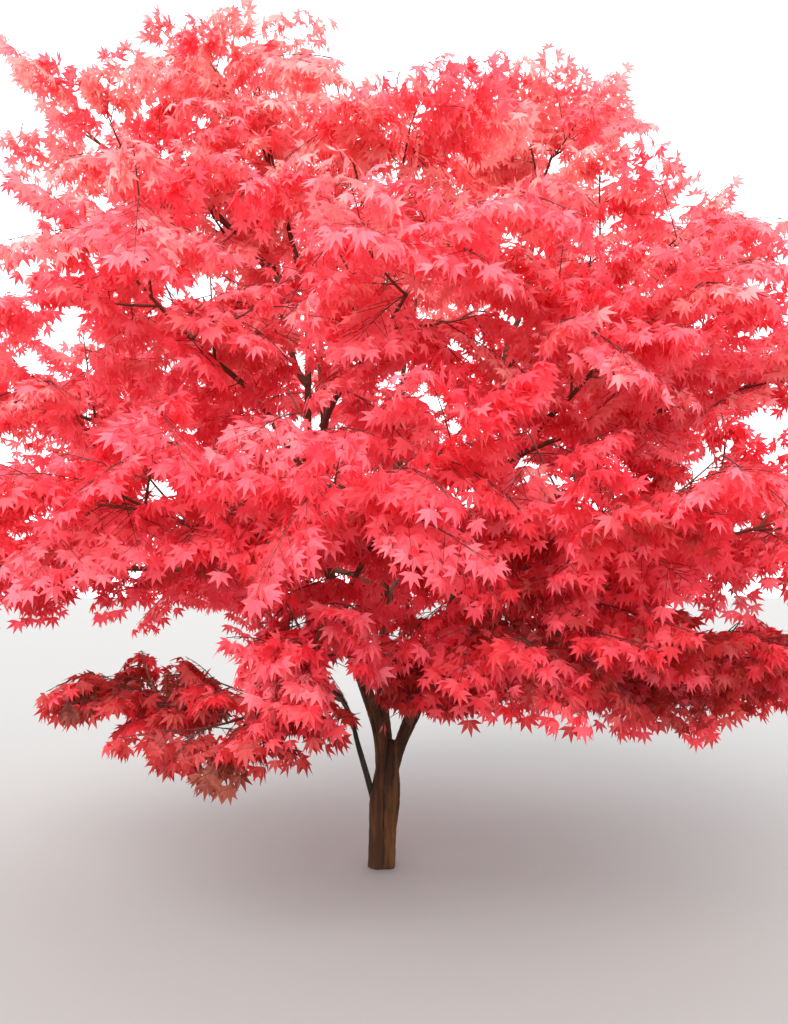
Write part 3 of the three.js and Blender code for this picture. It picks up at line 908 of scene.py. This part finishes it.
# %% Stems and boughs
COLLAR = 0.45
COLLAR_LENGTH = 0.03
UPPER_STEP, LOW_STEP, BOUGH_STEP = 0.014, 0.012, 0.016
UPPER_SIDES, LOW_SIDES, BOUGH_SIDES = 18, 14, 12
UPPER_RELIEF, FAINT_RELIEF = 0.7, 0.4


def bough_path(name, step):
    points, girth, along = limb_path(name, step)
    return points, girth * (1 + COLLAR * np.exp(-along / COLLAR_LENGTH))


def dressed_tubes(name, paths, sides, material, strength):
    """Tubes with bark relief, one limb after another."""
    parts = []
    for path, girth in paths:
        rod = tubes(name + "_rod", [(path, girth)], sides, material)
        add_relief(rod.data, [(path, girth)], strength)
        parts.append(rod)
    if len(parts) > 1:
        bpy.ops.object.select_all(action="DESELECT")
        for rod in parts:
            rod.select_set(True)
        bpy.context.view_layer.objects.active = parts[0]
        bpy.ops.object.join()
    parts[0].name = parts[0].data.name = name
    parts[0].data.shade_smooth()
    return parts[0]


upper_paths = [stem_path(name, WELD_TOP - STEM_STEP, math.inf, UPPER_STEP) for name in WELDED_STEMS]
upper_stems = dressed_tubes("upper_stems", upper_paths, UPPER_SIDES, trunk_material, UPPER_RELIEF)
low_path = bough_path("low_left_stem", LOW_STEP)
low_stem = dressed_tubes("low_left_stem_bark", [low_path], LOW_SIDES, low_stem_material, FAINT_RELIEF)
bough_paths = [bough_path(name, BOUGH_STEP) for name in limbs if name.endswith("_bough")]
boughs = dressed_tubes("boughs", bough_paths, BOUGH_SIDES, bough_material, FAINT_RELIEF)
print("boughs:", len(bough_paths), triangles(boughs.data), "triangles")

# %% [markdown]
# In three places a length of stem shows through the foliage. What would grow before it, as seen from the
# front, is left out. One test serves sprays, shoots and leaves: a point is in the way if it is at the
# stem's height, within a few centimetres of its line to either side, and nearer the front.

# %% Lengths of stem left free
# The stem, from and to which height it is left free, and how far to either side.
GAPS = [("left_stem", 0.58, 1.1, 0.045), ("left_stem", 1.85, 2.5, 0.04), ("right_stem", 0.5, 0.74, 0.05)]
GAP_STEP = 8


def in_gap(points):
    """Whether points lie before a length of stem that the foliage leaves free."""
    found = np.zeros(points.shape[:-1], bool)
    for limb, low, high, width in GAPS:
        line = limbs[limb][0].points
        line = line[(line[:, 2] > low) & (line[:, 2] < high)][::GAP_STEP]
        for start, end in zip(line[:-1], line[1:]):
            share = np.clip((points[..., 2] - start[2]) / (end[2] - start[2]), 0, 1)
            centre = start[:2] + (end - start)[:2] * share[..., None]
            beside = np.abs(points[..., 0] - centre[..., 0]) < width
            level = (points[..., 2] > start[2]) & (points[..., 2] <= end[2])
            found |= beside & level & (points[..., 1] < centre[..., 1] + width)
    return found


print("lengths of stem left free:", len(GAPS))

# %% [markdown]
# In the frame, a mass is a stem with five twigs and a few big blades. On the real tree each of those
# blades is a spray: a shoot that arches outwards and down, with shorter shoots to both sides. The twigs
# here come from the same random draws as in the frame, so the sprays hang where the blades are, with
# more of them between.

# %% Places of the sprays
ROUNDNESS = 3
STEM_PAST_CENTRE = 0.3
STEM_RISE = (0.05, 0.25)
STEM_ARCH = 0.7
STEM_POINTS, STEM_RADII = 12, (0.011, 0.006)
TWIG_POINTS, TWIG_RADII = 7, (0.0062, 0.0036)
# What chance takes off a twig's place, adds to its turn, and makes of how far out and up its tip is.
TWIG_CHANGES = [(0, 0.06), (-12, 12), (0.9, 1.1), (0.85, 1.15)]
TWIG_SAG = 0.06
TWIG_TRIES = (1, 0.82, 0.64, 0.46)
TWIG_ROOM = 0.85
# Where sprays leave a mass's stem, its bough and its twigs, the least and the most that they turn from
# it, in degrees, and their size. On the stem and the bough they take turns from side to side.
ON_STEM = ((0.25, 0.45, 0.65, 0.85), 45, 80, 0.9)
ON_BOUGH = ((0.36, 0.52, 0.66, 0.8, 0.92), 40, 85, 0.8)
ON_TWIG = [
    (0.84, 20, 50, 0.9),
    (0.66, -75, -40, 1.0),
    (0.5, 50, 85, 1.0),
    (0.3, -110, -60, 0.85),
    (0.7, 95, 140, 0.75),
]
STEM_END = 0.6


def space_value(mass, points):
    """Under 1 inside the rounded space of a mass."""
    spread, depth = tier_of(mass)[:2]
    away = points - centre_of(mass)
    level = np.hypot(away[..., 0], away[..., 1]) / spread
    return level**ROUNDNESS + np.abs(away[..., 2] / depth) ** ROUNDNESS


def thinning(count, radius, less):
    """Shares of a path's length, and its radius there: at its tip it is less by so much."""
    shares = np.linspace(0, 1, count)
    return shares, radius - less * shares


def thinning_path(curve, count, radii):
    shares, girth = thinning(count, *radii)
    return curve.at(shares), girth


def grow_mass(index, mass):
    """A mass's twigs as paths, and its sprays: (root, heading, size)."""
    spread, depth, _, fullness = tier_of(mass)
    draws = Draws(SEED + 101 * index)
    twigs = []
    for share, turn, out, up in TWIGS:
        back, aside, longer, higher = (draws.between(*change) for change in TWIG_CHANGES)
        twigs.append((share - back, turn + aside, out * longer, up * higher))
    bough = limbs[carrier_of(mass)][0]
    centre, way, start = centre_of(mass), bough.way(1.0), bough.at(1.0)
    ahead = centre - start
    end = centre + unit(ahead) * STEM_PAST_CENTRE * spread
    end[2] += draws.between(*STEM_RISE) * depth
    stem = bent(start, start + way * STEM_ARCH * np.linalg.norm(ahead), end)
    paths = [thinning_path(stem, STEM_POINTS, STEM_RADII)]
    stem_way = stem.way(0.9)
    heading = math.degrees(math.atan2(stem_way[1], stem_way[0]))
    tips, places = [(stem.at(1.0), heading, 1.0)], []
    for share, turn, out, up in twigs:
        root = stem.at(share)
        reach = polar(heading + turn, out * spread, up * depth) + centre - root
        fits = (part for part in TWIG_TRIES if space_value(mass, root + reach * part) < TWIG_ROOM)
        tip = root + reach * next(fits, TWIG_TRIES[-1])
        sag = UP * TWIG_SAG * np.linalg.norm(tip - root)
        twig = bent(root, (root + tip) / 2 - sag, tip)
        paths.append(thinning_path(twig, TWIG_POINTS, TWIG_RADII))
        tips.append((tip, heading + turn, 1.0))
        for at, least, most, size in ON_TWIG:
            places.append((twig.at(at), heading + turn + draws.between(least, most), size))
    for limb, (shares, least, most, size) in ((stem, ON_STEM), (bough, ON_BOUGH)):
        for number, share in enumerate(shares):
            if limb is bough and MASSES[mass][4] is None:
                share = 1 - STEM_END * (1 - share)
            side = 1 if number % 2 else -1
            places.append((limb.at(share), heading + side * draws.between(least, most), size))
    return paths, tips + [place for place in places if draws.between(0, 1) < fullness]


twig_paths, spray_places = [], []
for index, mass in enumerate(MASSES):
    paths, places = grow_mass(index, mass)
    twig_paths += paths
    spray_places += [(mass, *place) for place in places if not in_gap(place[0])]
print("sprays:", len(spray_places), "twigs:", len(twig_paths))

# %% [markdown]
# All sprays share one plan, so they are worked out together, as rows of numbers, one row for each spray.
# Every number gets its own small chance change. A spray starts a little upwards and ends hanging. What
# would grow out of the mass's space is grown shorter, and so is what would grow past the top of the tree,
# which keeps the crown's outline.

# %% Ways and lengths of the sprays
SPRAY_LENGTH = 0.45
SHORTER = (1.0, 0.75, 0.5)
LEAF_REACH = 0.055
LEAF_MARGIN = 0.03
# A tip may have a space value up to this before it is drawn back. Past the tree's box it has a larger one.
SPACE_LIMIT = 1.2
OUTSIDE = 9.0
LEAST_ROOM, LEAST_RISE = 0.02, 0.01
# The least and the most of each chance change. That of the heading is in radians, the other turns are in
# degrees, and what has no unit is a share.
HEADING_CHANGE = (-0.25, 0.25)
DROOP_CHANGE = (-0.2, 1.15)
RISE_CHANGE = (5, 40)
ROLL_CHANGE = (-26, 26)
LENGTH_CHANGE = (0.82, 1.14)
dice = np.random.default_rng(SEED)


def chance(shape, least_and_most):
    return dice.uniform(*least_and_most, shape)


def tilted(way, side, angle):
    """Turns directions towards a side by an angle."""
    return way * np.cos(angle)[..., None] + side * np.sin(angle)[..., None]


def value_in_own_space(points):
    """The space value of points that are held as one row for each spray."""
    values = np.empty(points.shape[:-1])
    for mass in MASSES:
        values[mass_of == mass] = space_value(mass, points[mass_of == mass])
    outside = (points < np.array(cad_box[0])).any(axis=-1) | (points > np.array(cad_box[1])).any(axis=-1)
    return np.where(outside, OUTSIDE, values)


def shortened(reach, tip_at):
    """Reaches cut to the longest of the shorter shares that keeps the tip in its space."""
    best = reach * SHORTER[-1]
    for part in reversed(SHORTER[:-1]):
        fits = value_in_own_space(tip_at(reach * part)) < SPACE_LIMIT
        best = np.where(fits, reach * part, best)
    return best


count = len(spray_places)
mass_of = np.array([place[0] for place in spray_places])
roots = np.array([place[1] for place in spray_places])
heading_of, size_of = np.array([place[2:] for place in spray_places]).T
least_droop, most_droop = np.array([tier_of(mass)[2] for mass in mass_of]).T
headings = np.radians(heading_of) + chance(count, HEADING_CHANGE)
droop = np.radians(least_droop + (most_droop - least_droop) * chance(count, DROOP_CHANGE))
rise = droop - np.radians(chance(count, RISE_CHANGE))
rolls = np.radians(chance(count, ROLL_CHANGE))

level = np.column_stack([np.cos(headings), np.sin(headings), np.zeros(count)])
down = np.broadcast_to(-UP, level.shape)
first_way = tilted(level, down, rise)
last_way = tilted(level, down, droop)
side_way = tilted(np.cross(UP, level), -down, rolls)
mean_way = 0.5 * (first_way + last_way)
lengths = shortened(
    SPRAY_LENGTH * size_of * chance(count, LENGTH_CHANGE),
    lambda reach: roots + mean_way * (reach + 0.5 * LEAF_REACH)[:, None],
)
room_above = np.maximum(cad_box[1][2] + LEAF_MARGIN - roots[:, 2], LEAST_ROOM)
lengths = np.minimum(lengths, room_above / np.maximum(mean_way[:, 2], LEAST_RISE))


def along_spray(share):
    """Points and directions at a share of the length of every spray."""
    turn = (last_way - first_way)[:, None] * share[..., None]
    points = roots[:, None] + lengths[:, None, None] * share[..., None] * (first_way[:, None] + 0.5 * turn)
    return points, unit(first_way[:, None] + turn)


print("sprays are", round(float(lengths.min()), 3), "to", round(float(lengths.max()), 3), "m long")

# %% [markdown]
# Each spray has six pairs of side shoots, longest near its foot, which lie in one plane with it like the
# barbs of a feather, and hang a little. Each of them is a column of the tables, so a table now holds all
# the shoots of the tree. A shoot that would end far outside its mass's space isn't grown at all.

# %% Side shoots
# Where each pair of side shoots leaves its spray, and its length as a share of the spray's.
SHOOTS = [(0.1, 0.4), (0.24, 0.43), (0.38, 0.4), (0.53, 0.34), (0.68, 0.27), (0.84, 0.16)]
FOOT_CHANGE = (-0.04, 0.04)
SHOOT_TURN = (38, 62)
SHOOT_SAG = (0.3, 0.9)
SHOOT_CHANGE = (0.75, 1.2)
FARTHEST = 3.0

shoot_share, shoot_length = np.repeat(SHOOTS, 2, axis=0).T
shoot_side = np.tile([1, -1], len(SHOOTS))
shape = (count, len(shoot_share))
foot, ahead = along_spray(shoot_share + chance(shape, FOOT_CHANGE))
normal = unit(np.cross(ahead, np.broadcast_to(side_way[:, None], ahead.shape)))
beside = np.cross(normal, ahead)
shoot_way = tilted(ahead, beside, shoot_side * np.radians(chance(shape, SHOOT_TURN)))
sag = chance(shape, SHOOT_SAG)
shoot_mean = shoot_way - 0.5 * UP * sag[..., None]


def shoot_end(reach):
    return foot + shoot_mean * (reach + LEAF_REACH)[..., None]


reach = shortened(lengths[:, None] * shoot_length * chance(shape, SHOOT_CHANGE), shoot_end)
shoot_tip = shoot_end(reach)
shoot_grown = (value_in_own_space(shoot_tip) < FARTHEST) & ~in_gap(foot) & ~in_gap(shoot_tip)


def along_shoot(part):
    """Points and directions on every side shoot, at a share of its length for each."""
    hang = UP * (sag * part)[..., None]
    return foot + (reach * part)[..., None] * (shoot_way - 0.5 * hang), unit(shoot_way - hang)


print("shoots:", int(shoot_grown.sum()), "of", shoot_grown.size)

# %% [markdown]
# Leaves stand on the shoots two by two, turned aside, with one more at the tip. All of them tip forward and
# down, because a maple leaf is heavy for its stalk: in the crown they lie over each other like shingles.

# %% Leaves on the shoots
PAIR_GAP = 0.044
PAIRS = 5
BARE_FOOT = 0.16
TINT_CHANGE = 0.6
LEAF_TURN = (30, 84)
LEAF_TWIST = (-14, 14)
LEAF_HANG = (0.2, 1.3)
LEAF_LEAN = 0.42
TIP_SHARES = (1.0, 0.93, 0.93)
TIP_TURNS = (0, 55, -55)
# In radians.
TIP_CHANGE = (-0.2, 0.2)
LEAF_WITH_STALK = 1.4

leaves = {"place": [], "forward": [], "up": [], "spray": [], "lighter": []}
shoot_tint = dice.normal(0, TINT_CHANGE, shape)


def add_leaves(points, ways, ups, turn, keep, lighter):
    """Adds leaves that turn aside from their shoot and hang from it."""
    forward = tilted(ways, np.cross(ups, ways), turn)
    forward = unit(forward - UP * chance(turn.shape, LEAF_HANG)[..., None])
    grown_leaves = {
        "place": points,
        "forward": forward,
        "up": unit(ups + dice.normal(0, LEAF_LEAN, forward.shape)),
        "spray": np.broadcast_to(np.arange(count)[:, None], turn.shape),
        "lighter": np.broadcast_to(lighter, turn.shape),
    }
    for key, values in grown_leaves.items():
        leaves[key].append(values[keep])


for pair in range(PAIRS):
    part = 1 - pair * PAIR_GAP / reach
    keep = shoot_grown & (part > BARE_FOOT) if pair else shoot_grown
    points, ways = along_shoot(np.clip(part, 0, 1))
    for side in (1, -1) if pair else (0,):
        turn = side * np.radians(chance(shape, LEAF_TURN)) + np.radians(chance(shape, LEAF_TWIST))
        add_leaves(points, ways, normal, turn, keep, shoot_tint)

tips = (count, len(TIP_SHARES))
points, ways = along_spray(np.broadcast_to(TIP_SHARES, tips))
tip_up = unit(np.cross(ways, np.broadcast_to(side_way[:, None], ways.shape)))
tip_turn = np.broadcast_to(np.radians(TIP_TURNS), tips) + chance(tips, TIP_CHANGE)
add_leaves(points, ways, tip_up, tip_turn, np.ones(tips, bool), 0.0)

leaves = {key: np.concatenate(parts) for key, parts in leaves.items()}
leaf_tip = leaves["place"] + leaves["forward"] * LEAF_WITH_STALK * LEAF_REACH
inside = ~in_gap(leaves["place"])
for axis in range(3):
    inside &= leaf_tip[:, axis] > cad_box[0][axis] - LEAF_MARGIN
    inside &= leaf_tip[:, axis] < cad_box[1][axis] + LEAF_MARGIN
leaves = {key: values[inside] for key, values in leaves.items()}
print("leaves:", len(inside), "grown,", int(inside.sum()), "kept")

# %% [markdown]
# The shoots are drawn as tubes like the limbs, but with three or four sides, because there are thousands
# of them and each is thinner than a pencil lead.

# %% Twigs
SPRAY_POINTS, SPRAY_RADII = 5, (0.0024, 0.0013)
SHOOT_POINTS, SHOOT_RADII = 2, (0.0013, 0.0004)
TWIG_SIDES, SPRAY_SIDES, SHOOT_SIDES = 6, 4, 3
MOTTLES_PER_METRE = 60.0
TWIG_COLOURS = (colour(54, 26, 22), colour(86, 46, 36))
TWIG_BUMP = (0.3, 0.001)

steps, girth = thinning(SPRAY_POINTS, *SPRAY_RADII)
points, _ = along_spray(np.broadcast_to(steps, (count, SPRAY_POINTS)))
spray_paths = [(path, girth) for path in points]
steps, girth = thinning(SHOOT_POINTS, *SHOOT_RADII)
stops = np.stack([along_shoot(np.full(shape, part))[0] for part in steps], axis=2)
shoot_paths = [(path, girth) for path in stops[shoot_grown]]

twig_shader = Shader("twig_bark", Roughness=0.7)
mottle = twig_shader.noise(MOTTLES_PER_METRE)
twig_colour = twig_shader.mix(mottle, *TWIG_COLOURS)
twig_relief = twig_shader.bump(mottle, *TWIG_BUMP)
twig_material = twig_shader.feed(Base_Color=twig_colour, Normal=twig_relief)
twig_pieces = [
    tubes("twigs_of_masses", twig_paths, TWIG_SIDES, bough_material),
    tubes("shoots_of_sprays", spray_paths, SPRAY_SIDES, twig_material),
    tubes("fine_shoots", shoot_paths, SHOOT_SIDES, twig_material),
]

# %% [markdown]
# A leaf of this maple is a hand of pointed lobes on a thin stalk: five long ones, and two short ones by
# the stalk. It is drawn once from its lobes' turns and lengths, as a fan of flat faces whose shoulders
# bend down, and then shaped three ways: nearly flat, hanging, and folded along its middle. Thirteen faces
# are enough, because there are tens of thousands of leaves, and no one sees a leaf larger than a
# thumbnail.

# %% Leaf shapes
# The turn, length and width of each lobe on one side, and of the middle one.
LOBES = [(118, 0.42, 0.16), (74, 0.78, 0.27), (37, 0.95, 0.29), (0, 1.0, 0.29)]
SHOULDER_AT = 0.46
SMALL_LOBE, SMALL_TURN, SMALL_SHOULDER = 0.5, 12, 0.8
CREASE = 0.035
STALK, STALK_WIDTH, STALK_BEND = 0.45, 0.02, 0.01
# How far the lobes hang, and how far the leaf is folded, in each shape.
BENDS = [(0.1, 0.05), (0.36, 0.12), (0.24, 0.42)]


def leaf_mesh(name, hang, fold):
    """A leaf of unit lobe length, its stalk's foot at the origin, pointing along +Y with its face up."""
    flat, faces, shoulders = [(0.0, 0.0)], [], []

    def add(turn, length, across=0.0):
        angle = math.radians(turn)
        x = -length * math.sin(angle) + across * math.cos(angle)
        y = length * math.cos(angle) + across * math.sin(angle)
        flat.append((x, y))
        return len(flat) - 1

    lobes = LOBES + [(-turn, length, width) for turn, length, width in LOBES[:3]]
    for turn, length, width in lobes:
        tip = add(turn, length)
        if length < SMALL_LOBE:
            inner = add(turn - math.copysign(SMALL_TURN, turn), SMALL_SHOULDER * SHOULDER_AT * length)
            faces.append((0, inner, tip) if turn < 0 else (0, tip, inner))
            continue
        near = add(turn, SHOULDER_AT * length, -0.5 * width)
        far = add(turn, SHOULDER_AT * length, 0.5 * width)
        faces += [(0, near, tip), (0, tip, far)]
        shoulders.extend((near, far))
    points = []
    for index, (x, y) in enumerate(flat):
        crease = CREASE if index in shoulders else 0.0
        points.append((x, y + STALK, -hang * math.hypot(x, y) ** 2 - fold * abs(x) - crease))
    faces.append((len(points), len(points) + 1, 0))
    points += [(0.0, 0.0, 0.0), (STALK_WIDTH, STALK * 0.5, -STALK_BEND)]
    mesh = bpy.data.meshes.new(name)
    mesh.from_pydata(points, [], [tuple(reversed(face)) for face in faces])
    return mesh


leaf_shapes = bpy.data.collections.new("leaf_shapes")
for number, (hang, fold) in enumerate(BENDS):
    shape_mesh = leaf_mesh(f"leaf_shape_{number}", hang, fold)
    leaf_shapes.objects.link(bpy.data.objects.new(shape_mesh.name, shape_mesh))
print("leaf shapes:", len(BENDS), "of", triangles(shape_mesh), "triangles")

# %% [markdown]
# Geometry Nodes sets a leaf on every place: the point knows which way its leaf looks, which way its face
# is turned, how large it is and which of the shapes it takes. The instances are then made real, because
# only real faces leave this file.

# %% Leaves on their places
LEAF_SIZES = (0.78, 1.2)
SHAPE_SHARES = (0.35, 0.4, 0.25)
WAY, NUMBER = "FLOAT_VECTOR", "FLOAT"
LEAF_FIELDS = {"forward": WAY, "up": WAY, "size": NUMBER, "shade": NUMBER, "shape": "INT"}


def leaf_tree():
    inputs = {"Shapes": "NodeSocketCollection", "Material": "NodeSocketMaterial"}
    tree, given = new_tree("leaves_on_places", inputs)

    def stored(name):
        settings = {"data_type": LEAF_FIELDS[name]}
        return add_node(tree, "GeometryNodeInputNamedAttribute", settings, {"Name": name})

    axes = {"primary_axis": "Y", "secondary_axis": "Z"}
    towards = {"Primary Axis": stored("forward"), "Secondary Axis": stored("up")}
    turned = add_node(tree, "FunctionNodeAxesToRotation", axes, towards)
    shapes = {"Collection": given["Shapes"], "Separate Children": True, "Reset Children": True}
    placing = {
        "Points": given["Geometry"],
        "Instance": add_node(tree, "GeometryNodeCollectionInfo", {}, shapes),
        "Pick Instance": True,
        "Instance Index": stored("shape"),
        "Rotation": turned,
        "Scale": stored("size"),
    }
    return end_tree(tree, given, add_node(tree, "GeometryNodeInstanceOnPoints", {}, placing))


LEAF_TREE = leaf_tree()
places = len(leaves["place"])
leaves["shade"] = dice.uniform(0, 1, places)
leaves["size"] = LEAF_REACH * dice.uniform(*LEAF_SIZES, places)
leaves["shape"] = dice.choice(len(BENDS), places, p=SHAPE_SHARES)


def leaf_piece(name, chosen, material):
    """One piece of leaves on the chosen places."""
    mesh = bpy.data.meshes.new(name + "_places")
    mesh.from_pydata(leaves["place"][chosen].tolist(), [], [])
    for label, kind in LEAF_FIELDS.items():
        store(mesh, label, leaves[label][chosen], kind)
    piece = grown(name, mesh, LEAF_TREE, {"Shapes": leaf_shapes, "Material": material})
    print(name, int(chosen.sum()), "leaves,", triangles(piece.data), "triangles")
    return piece


print("leaf tree has", len(LEAF_TREE.nodes), "nodes")

# %% [markdown]
# Autumn doesn't turn every leaf alike. The top of the crown, in full light, is a pale coral pink, partly a
# painted highlight, its middle a glowing scarlet, and the sprays near the ground are deep red, with some
# rust, partly the leaves' own colour and partly painted shade. Each spray takes one tint, by its height and
# by chance, and each tint is one piece with one plain colour, a little darker or lighter from leaf to leaf.
# Half of a leaf's colour is light that comes through it.

# %% Autumn tints
# From the top of the tree down: the colour as seen, and the slot of the record. Rust is dealt by chance.
TINTS = {
    "blush": ((255, 156, 152), "leaf_rose"),
    "coral": ((255, 132, 134), "leaf_rose"),
    "rose": ((254, 106, 118), "leaf_rose"),
    "scarlet": ((252, 86, 101), "leaf_scarlet"),
    "cherry": ((250, 70, 87), "leaf_scarlet"),
    "crimson": ((240, 56, 68), "leaf_crimson"),
    "deep_red": ((194, 40, 38), "leaf_deep_red"),
    "rust": ((150, 50, 30), "leaf_deep_red"),
}
DEEPEST, RUST = 6, 7
TOP_HEIGHT, LOW_HEIGHT = 3.7, 0.7
DEEPENING = 1.4
MEAN_CHANGE, SPRAY_CHANGE = 0.3, 0.75
FRINGE_LIGHTER = 1.6
RUST_SHARE = 0.28
RUSTY_MASSES = ("low_left", "low_front_left")
THROUGH_LEAF = 0.5
DARKER = (-36, -24, -24)
LIGHTER = (16, 36, 36)


def leaf_shader(tint, seen):
    leaf = Shader("leaf_" + tint, Roughness=0.5)
    darker, lighter = (colour(*np.clip(np.add(seen, change), 0, 255)) for change in (DARKER, LIGHTER))
    leaf.feed(Base_Color=leaf.mix(leaf.attribute("shade"), darker, lighter))
    through_leaf = leaf.node("ShaderNodeBsdfTranslucent", {}, {"Color": colour(*seen)})
    both_sides = {0: THROUGH_LEAF, 1: Value(leaf, leaf.surface.outputs[0]), 2: through_leaf}
    both = leaf.node("ShaderNodeMixShader", {}, both_sides)
    leaf.tree.links.new(both.socket, leaf.tree.nodes["Material Output"].inputs["Surface"])
    return leaf.material


height = (roots[:, 2] - LOW_HEIGHT) / (TOP_HEIGHT - LOW_HEIGHT)
# Lower sprays take deeper tints: partly the leaves' own autumn colour, partly painted shade.
spray_tint = DEEPEST * (1 - np.clip(height, 0, 1)) ** DEEPENING
spray_tint += dice.normal(MEAN_CHANGE, SPRAY_CHANGE, count)
spray_tint[mass_of == "fringe_front"] -= FRINGE_LIGHTER
rusty = np.isin(mass_of, RUSTY_MASSES) & (dice.random(count) < RUST_SHARE)
leaf_tint = np.clip(np.round(spray_tint[leaves["spray"]] + leaves["lighter"]), 0, DEEPEST)
leaf_tint[rusty[leaves["spray"]]] = RUST

leaf_pieces = []
for number, (tint, (seen, slot)) in enumerate(TINTS.items()):
    piece = leaf_piece("leaves_" + tint, leaf_tint == number, leaf_shader(tint, seen))
    leaf_pieces.append((piece, slot))

# %% [markdown]
# Every piece is tied to the frame: it rides on a body, and the plain parts it stands for are hidden. The
# tree has no moving parts, so everything rides on its root.

# %% Tie the pieces to the frame
BOUGH_NODES = [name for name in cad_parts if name.endswith("_bough")]
FOLIAGE_NODES = [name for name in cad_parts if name.endswith("_foliage")]


def tie(piece, nodes):
    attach(piece, "root")
    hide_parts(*nodes)


tie(trunk, ["trunk", *WELDED_STEMS])
tie(upper_stems, WELDED_STEMS)
tie(low_stem, ["low_left_stem"])
tie(boughs, BOUGH_NODES)
for piece, slot in [(piece, "bough_bark") for piece in twig_pieces] + leaf_pieces:
    tie(piece, FOLIAGE_NODES)
print("tied:", 4 + len(twig_pieces) + len(leaf_pieces), "pieces")
